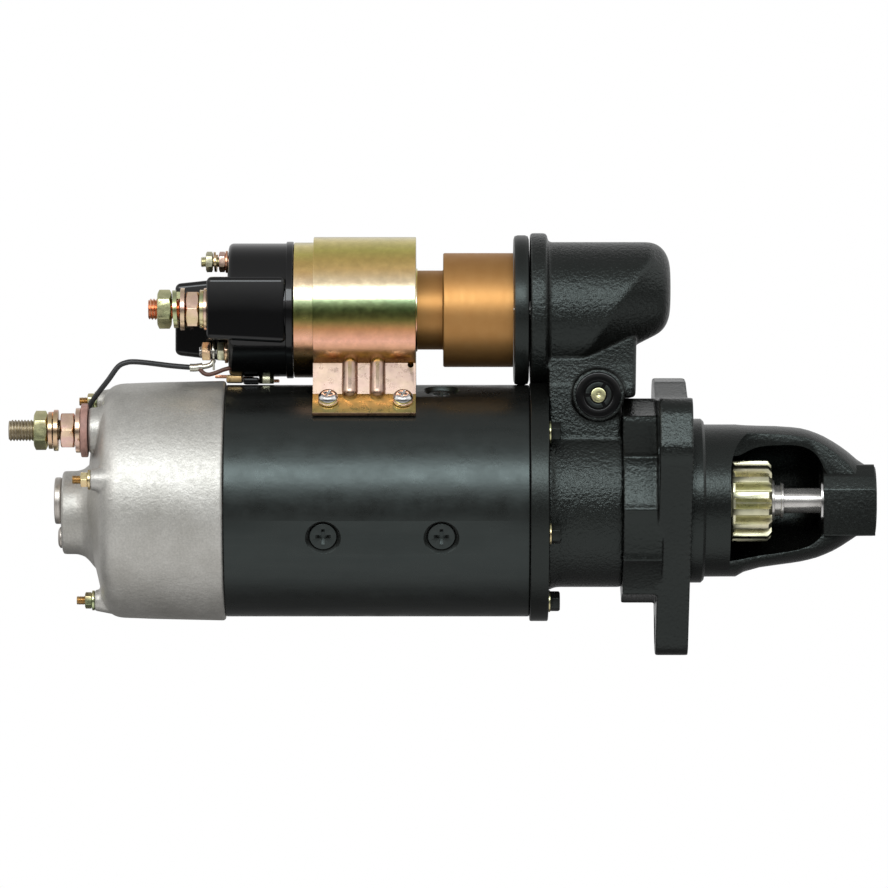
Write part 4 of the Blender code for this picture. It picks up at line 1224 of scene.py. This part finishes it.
def area_light(name, place_at, size, power, colour=(1, 1, 1), target=(MIDDLE_X, 0, 0.03)):
    data = bpy.data.lights.new(name, "AREA")
    data.shape = "RECTANGLE"
    data.size, data.size_y = size
    data.energy = power
    data.color = colour
    lamp = bpy.data.objects.new(name, data)
    lamp.location = place_at
    lamp.rotation_euler = (Vector(target) - Vector(place_at)).to_track_quat("-Z", "Y").to_euler()
    bpy.context.scene.collection.objects.link(lamp)


def blend(tree, factor, first, second):
    """Two shaders mixed by a socket."""
    chooser = added(tree, "MixShader", Fac=factor)
    tree.links.new(first.outputs[0], chooser.inputs[1])
    tree.links.new(second.outputs[0], chooser.inputs[2])
    return chooser.outputs["Shader"]


def sky():
    """White to the eye; for lighting, a soft room that is dark just round the camera."""
    world = bpy.data.worlds.new("studio")
    bpy.context.scene.world = world
    world.use_nodes = True
    tree = world.node_tree
    direction = added(tree, "TexCoord").outputs["Generated"]
    parts = added(tree, "SeparateXYZ", Vector=direction).outputs
    height = rescaled(tree, parts["Z"], -1.0, 1.0)
    front = ramp(tree, height, [
        (0.0, 0.34), (0.10, 0.42), (0.25, 0.38), (0.34, 0.20), (0.39, 0.06), (0.50, 0.045),
        (0.555, 0.26), (0.60, 0.50), (0.66, 0.68), (0.77, 0.60), (0.85, 0.36), (1.0, 0.20),
    ])
    back = ramp(tree, height, [
        (0.0, 0.05), (0.30, 0.06), (0.5, 0.25), (0.75, 0.35), (1.0, 0.16),
    ])
    light = mix(tree, rescaled(tree, parts["Y"], -0.15, 0.25), front, back)
    room = feed(tree, tree.nodes["Background"], Color=light, Strength=SKY_STRENGTH)
    paper = added(tree, "Background", Color=(1, 1, 1, 1), Strength=1.0)
    seen = added(tree, "LightPath").outputs["Is Camera Ray"]
    feed(tree, tree.nodes["World Output"], Surface=blend(tree, seen, room, paper))


def floor():
    """A pale disc that fades out at its rim and isn't seen from below."""
    mesh = bmesh.new()
    bmesh.ops.create_circle(mesh, cap_ends=True, radius=1.9, segments=96)
    data = bpy.data.meshes.new("floor")
    mesh.to_mesh(data)
    mesh.free()
    disc = bpy.data.objects.new("floor", data)
    disc.location = (MIDDLE_X, 0, FLOOR_Z)
    bpy.context.scene.collection.objects.link(disc)
    made, tree, shader, spread = shader_tree("floor_paper")
    feed(tree, shader, Base_Color=(0.86, 0.86, 0.85, 1), Roughness=0.9)
    length = added(tree, "VectorMath")
    length.operation = "LENGTH"
    tree.links.new(spread, length.inputs[0])
    unseen = added(tree, "Math")
    unseen.operation = "SUBTRACT"
    unseen.inputs[0].default_value = 1.0
    tree.links.new(added(tree, "LightPath").outputs["Is Camera Ray"], unseen.inputs[1])
    hide = unseen.outputs["Value"]
    for fade in (rescaled(tree, length.outputs["Value"], 0.7, 1.7),
                 added(tree, "NewGeometry").outputs["Backfacing"]):
        most = added(tree, "Math")
        most.operation = "MAXIMUM"
        tree.links.new(hide, most.inputs[0])
        tree.links.new(fade, most.inputs[1])
        hide = most.outputs["Value"]
    clear = added(tree, "BsdfTransparent")
    feed(tree, tree.nodes["Material Output"], Surface=blend(tree, hide, shader, clear))
    data.materials.append(made)


def camera():
    data = bpy.data.cameras.new("camera")
    data.lens = 252.7
    data.sensor_width = 36.0
    eye = bpy.data.objects.new("camera", data)
    eye.location = (MIDDLE_X, -3.5, 0.0318)
    eye.rotation_euler = (math.radians(90), 0, 0)
    bpy.context.scene.collection.objects.link(eye)
    bpy.context.scene.camera = eye


def paint_frame():
    """Every CAD node that stays visible takes the finish of its slot."""
    for entry in frame["record"]["subparts"]:
        node = frame["nodes"][entry["node"]]
        finish = FINISH.get(entry["material_slot"])
        node.data.materials.clear()
        node.data.materials.append(finish or FINISH["steel"])


def build():
    """Every piece, then the studio; the order is the order of the pieces in the file."""
    paint_frame()
    for part in (end_cover, bearing_cap, ground_terminal, yoke, bearing_plate, lever_housing,
                 pivot_parts, nose_bell, mounting_flange, shaft, clutch, pinion, solenoid_case,
                 plunger_tube, return_spring, terminal_cap, battery_terminal, small_terminals,
                 solenoid_clamp, wiring):
        part()
    sky()
    floor()
    area_light("softbox", (MIDDLE_X, -2.02, 1.03), (1.9, 0.74), 23, (0.90, 0.97, 1.0))
    area_light("fill", (-1.2, -1.6, 0.9), (0.8, 0.8), 6)
    camera()
    bpy.context.scene.view_settings.view_transform = "Standard"


build()
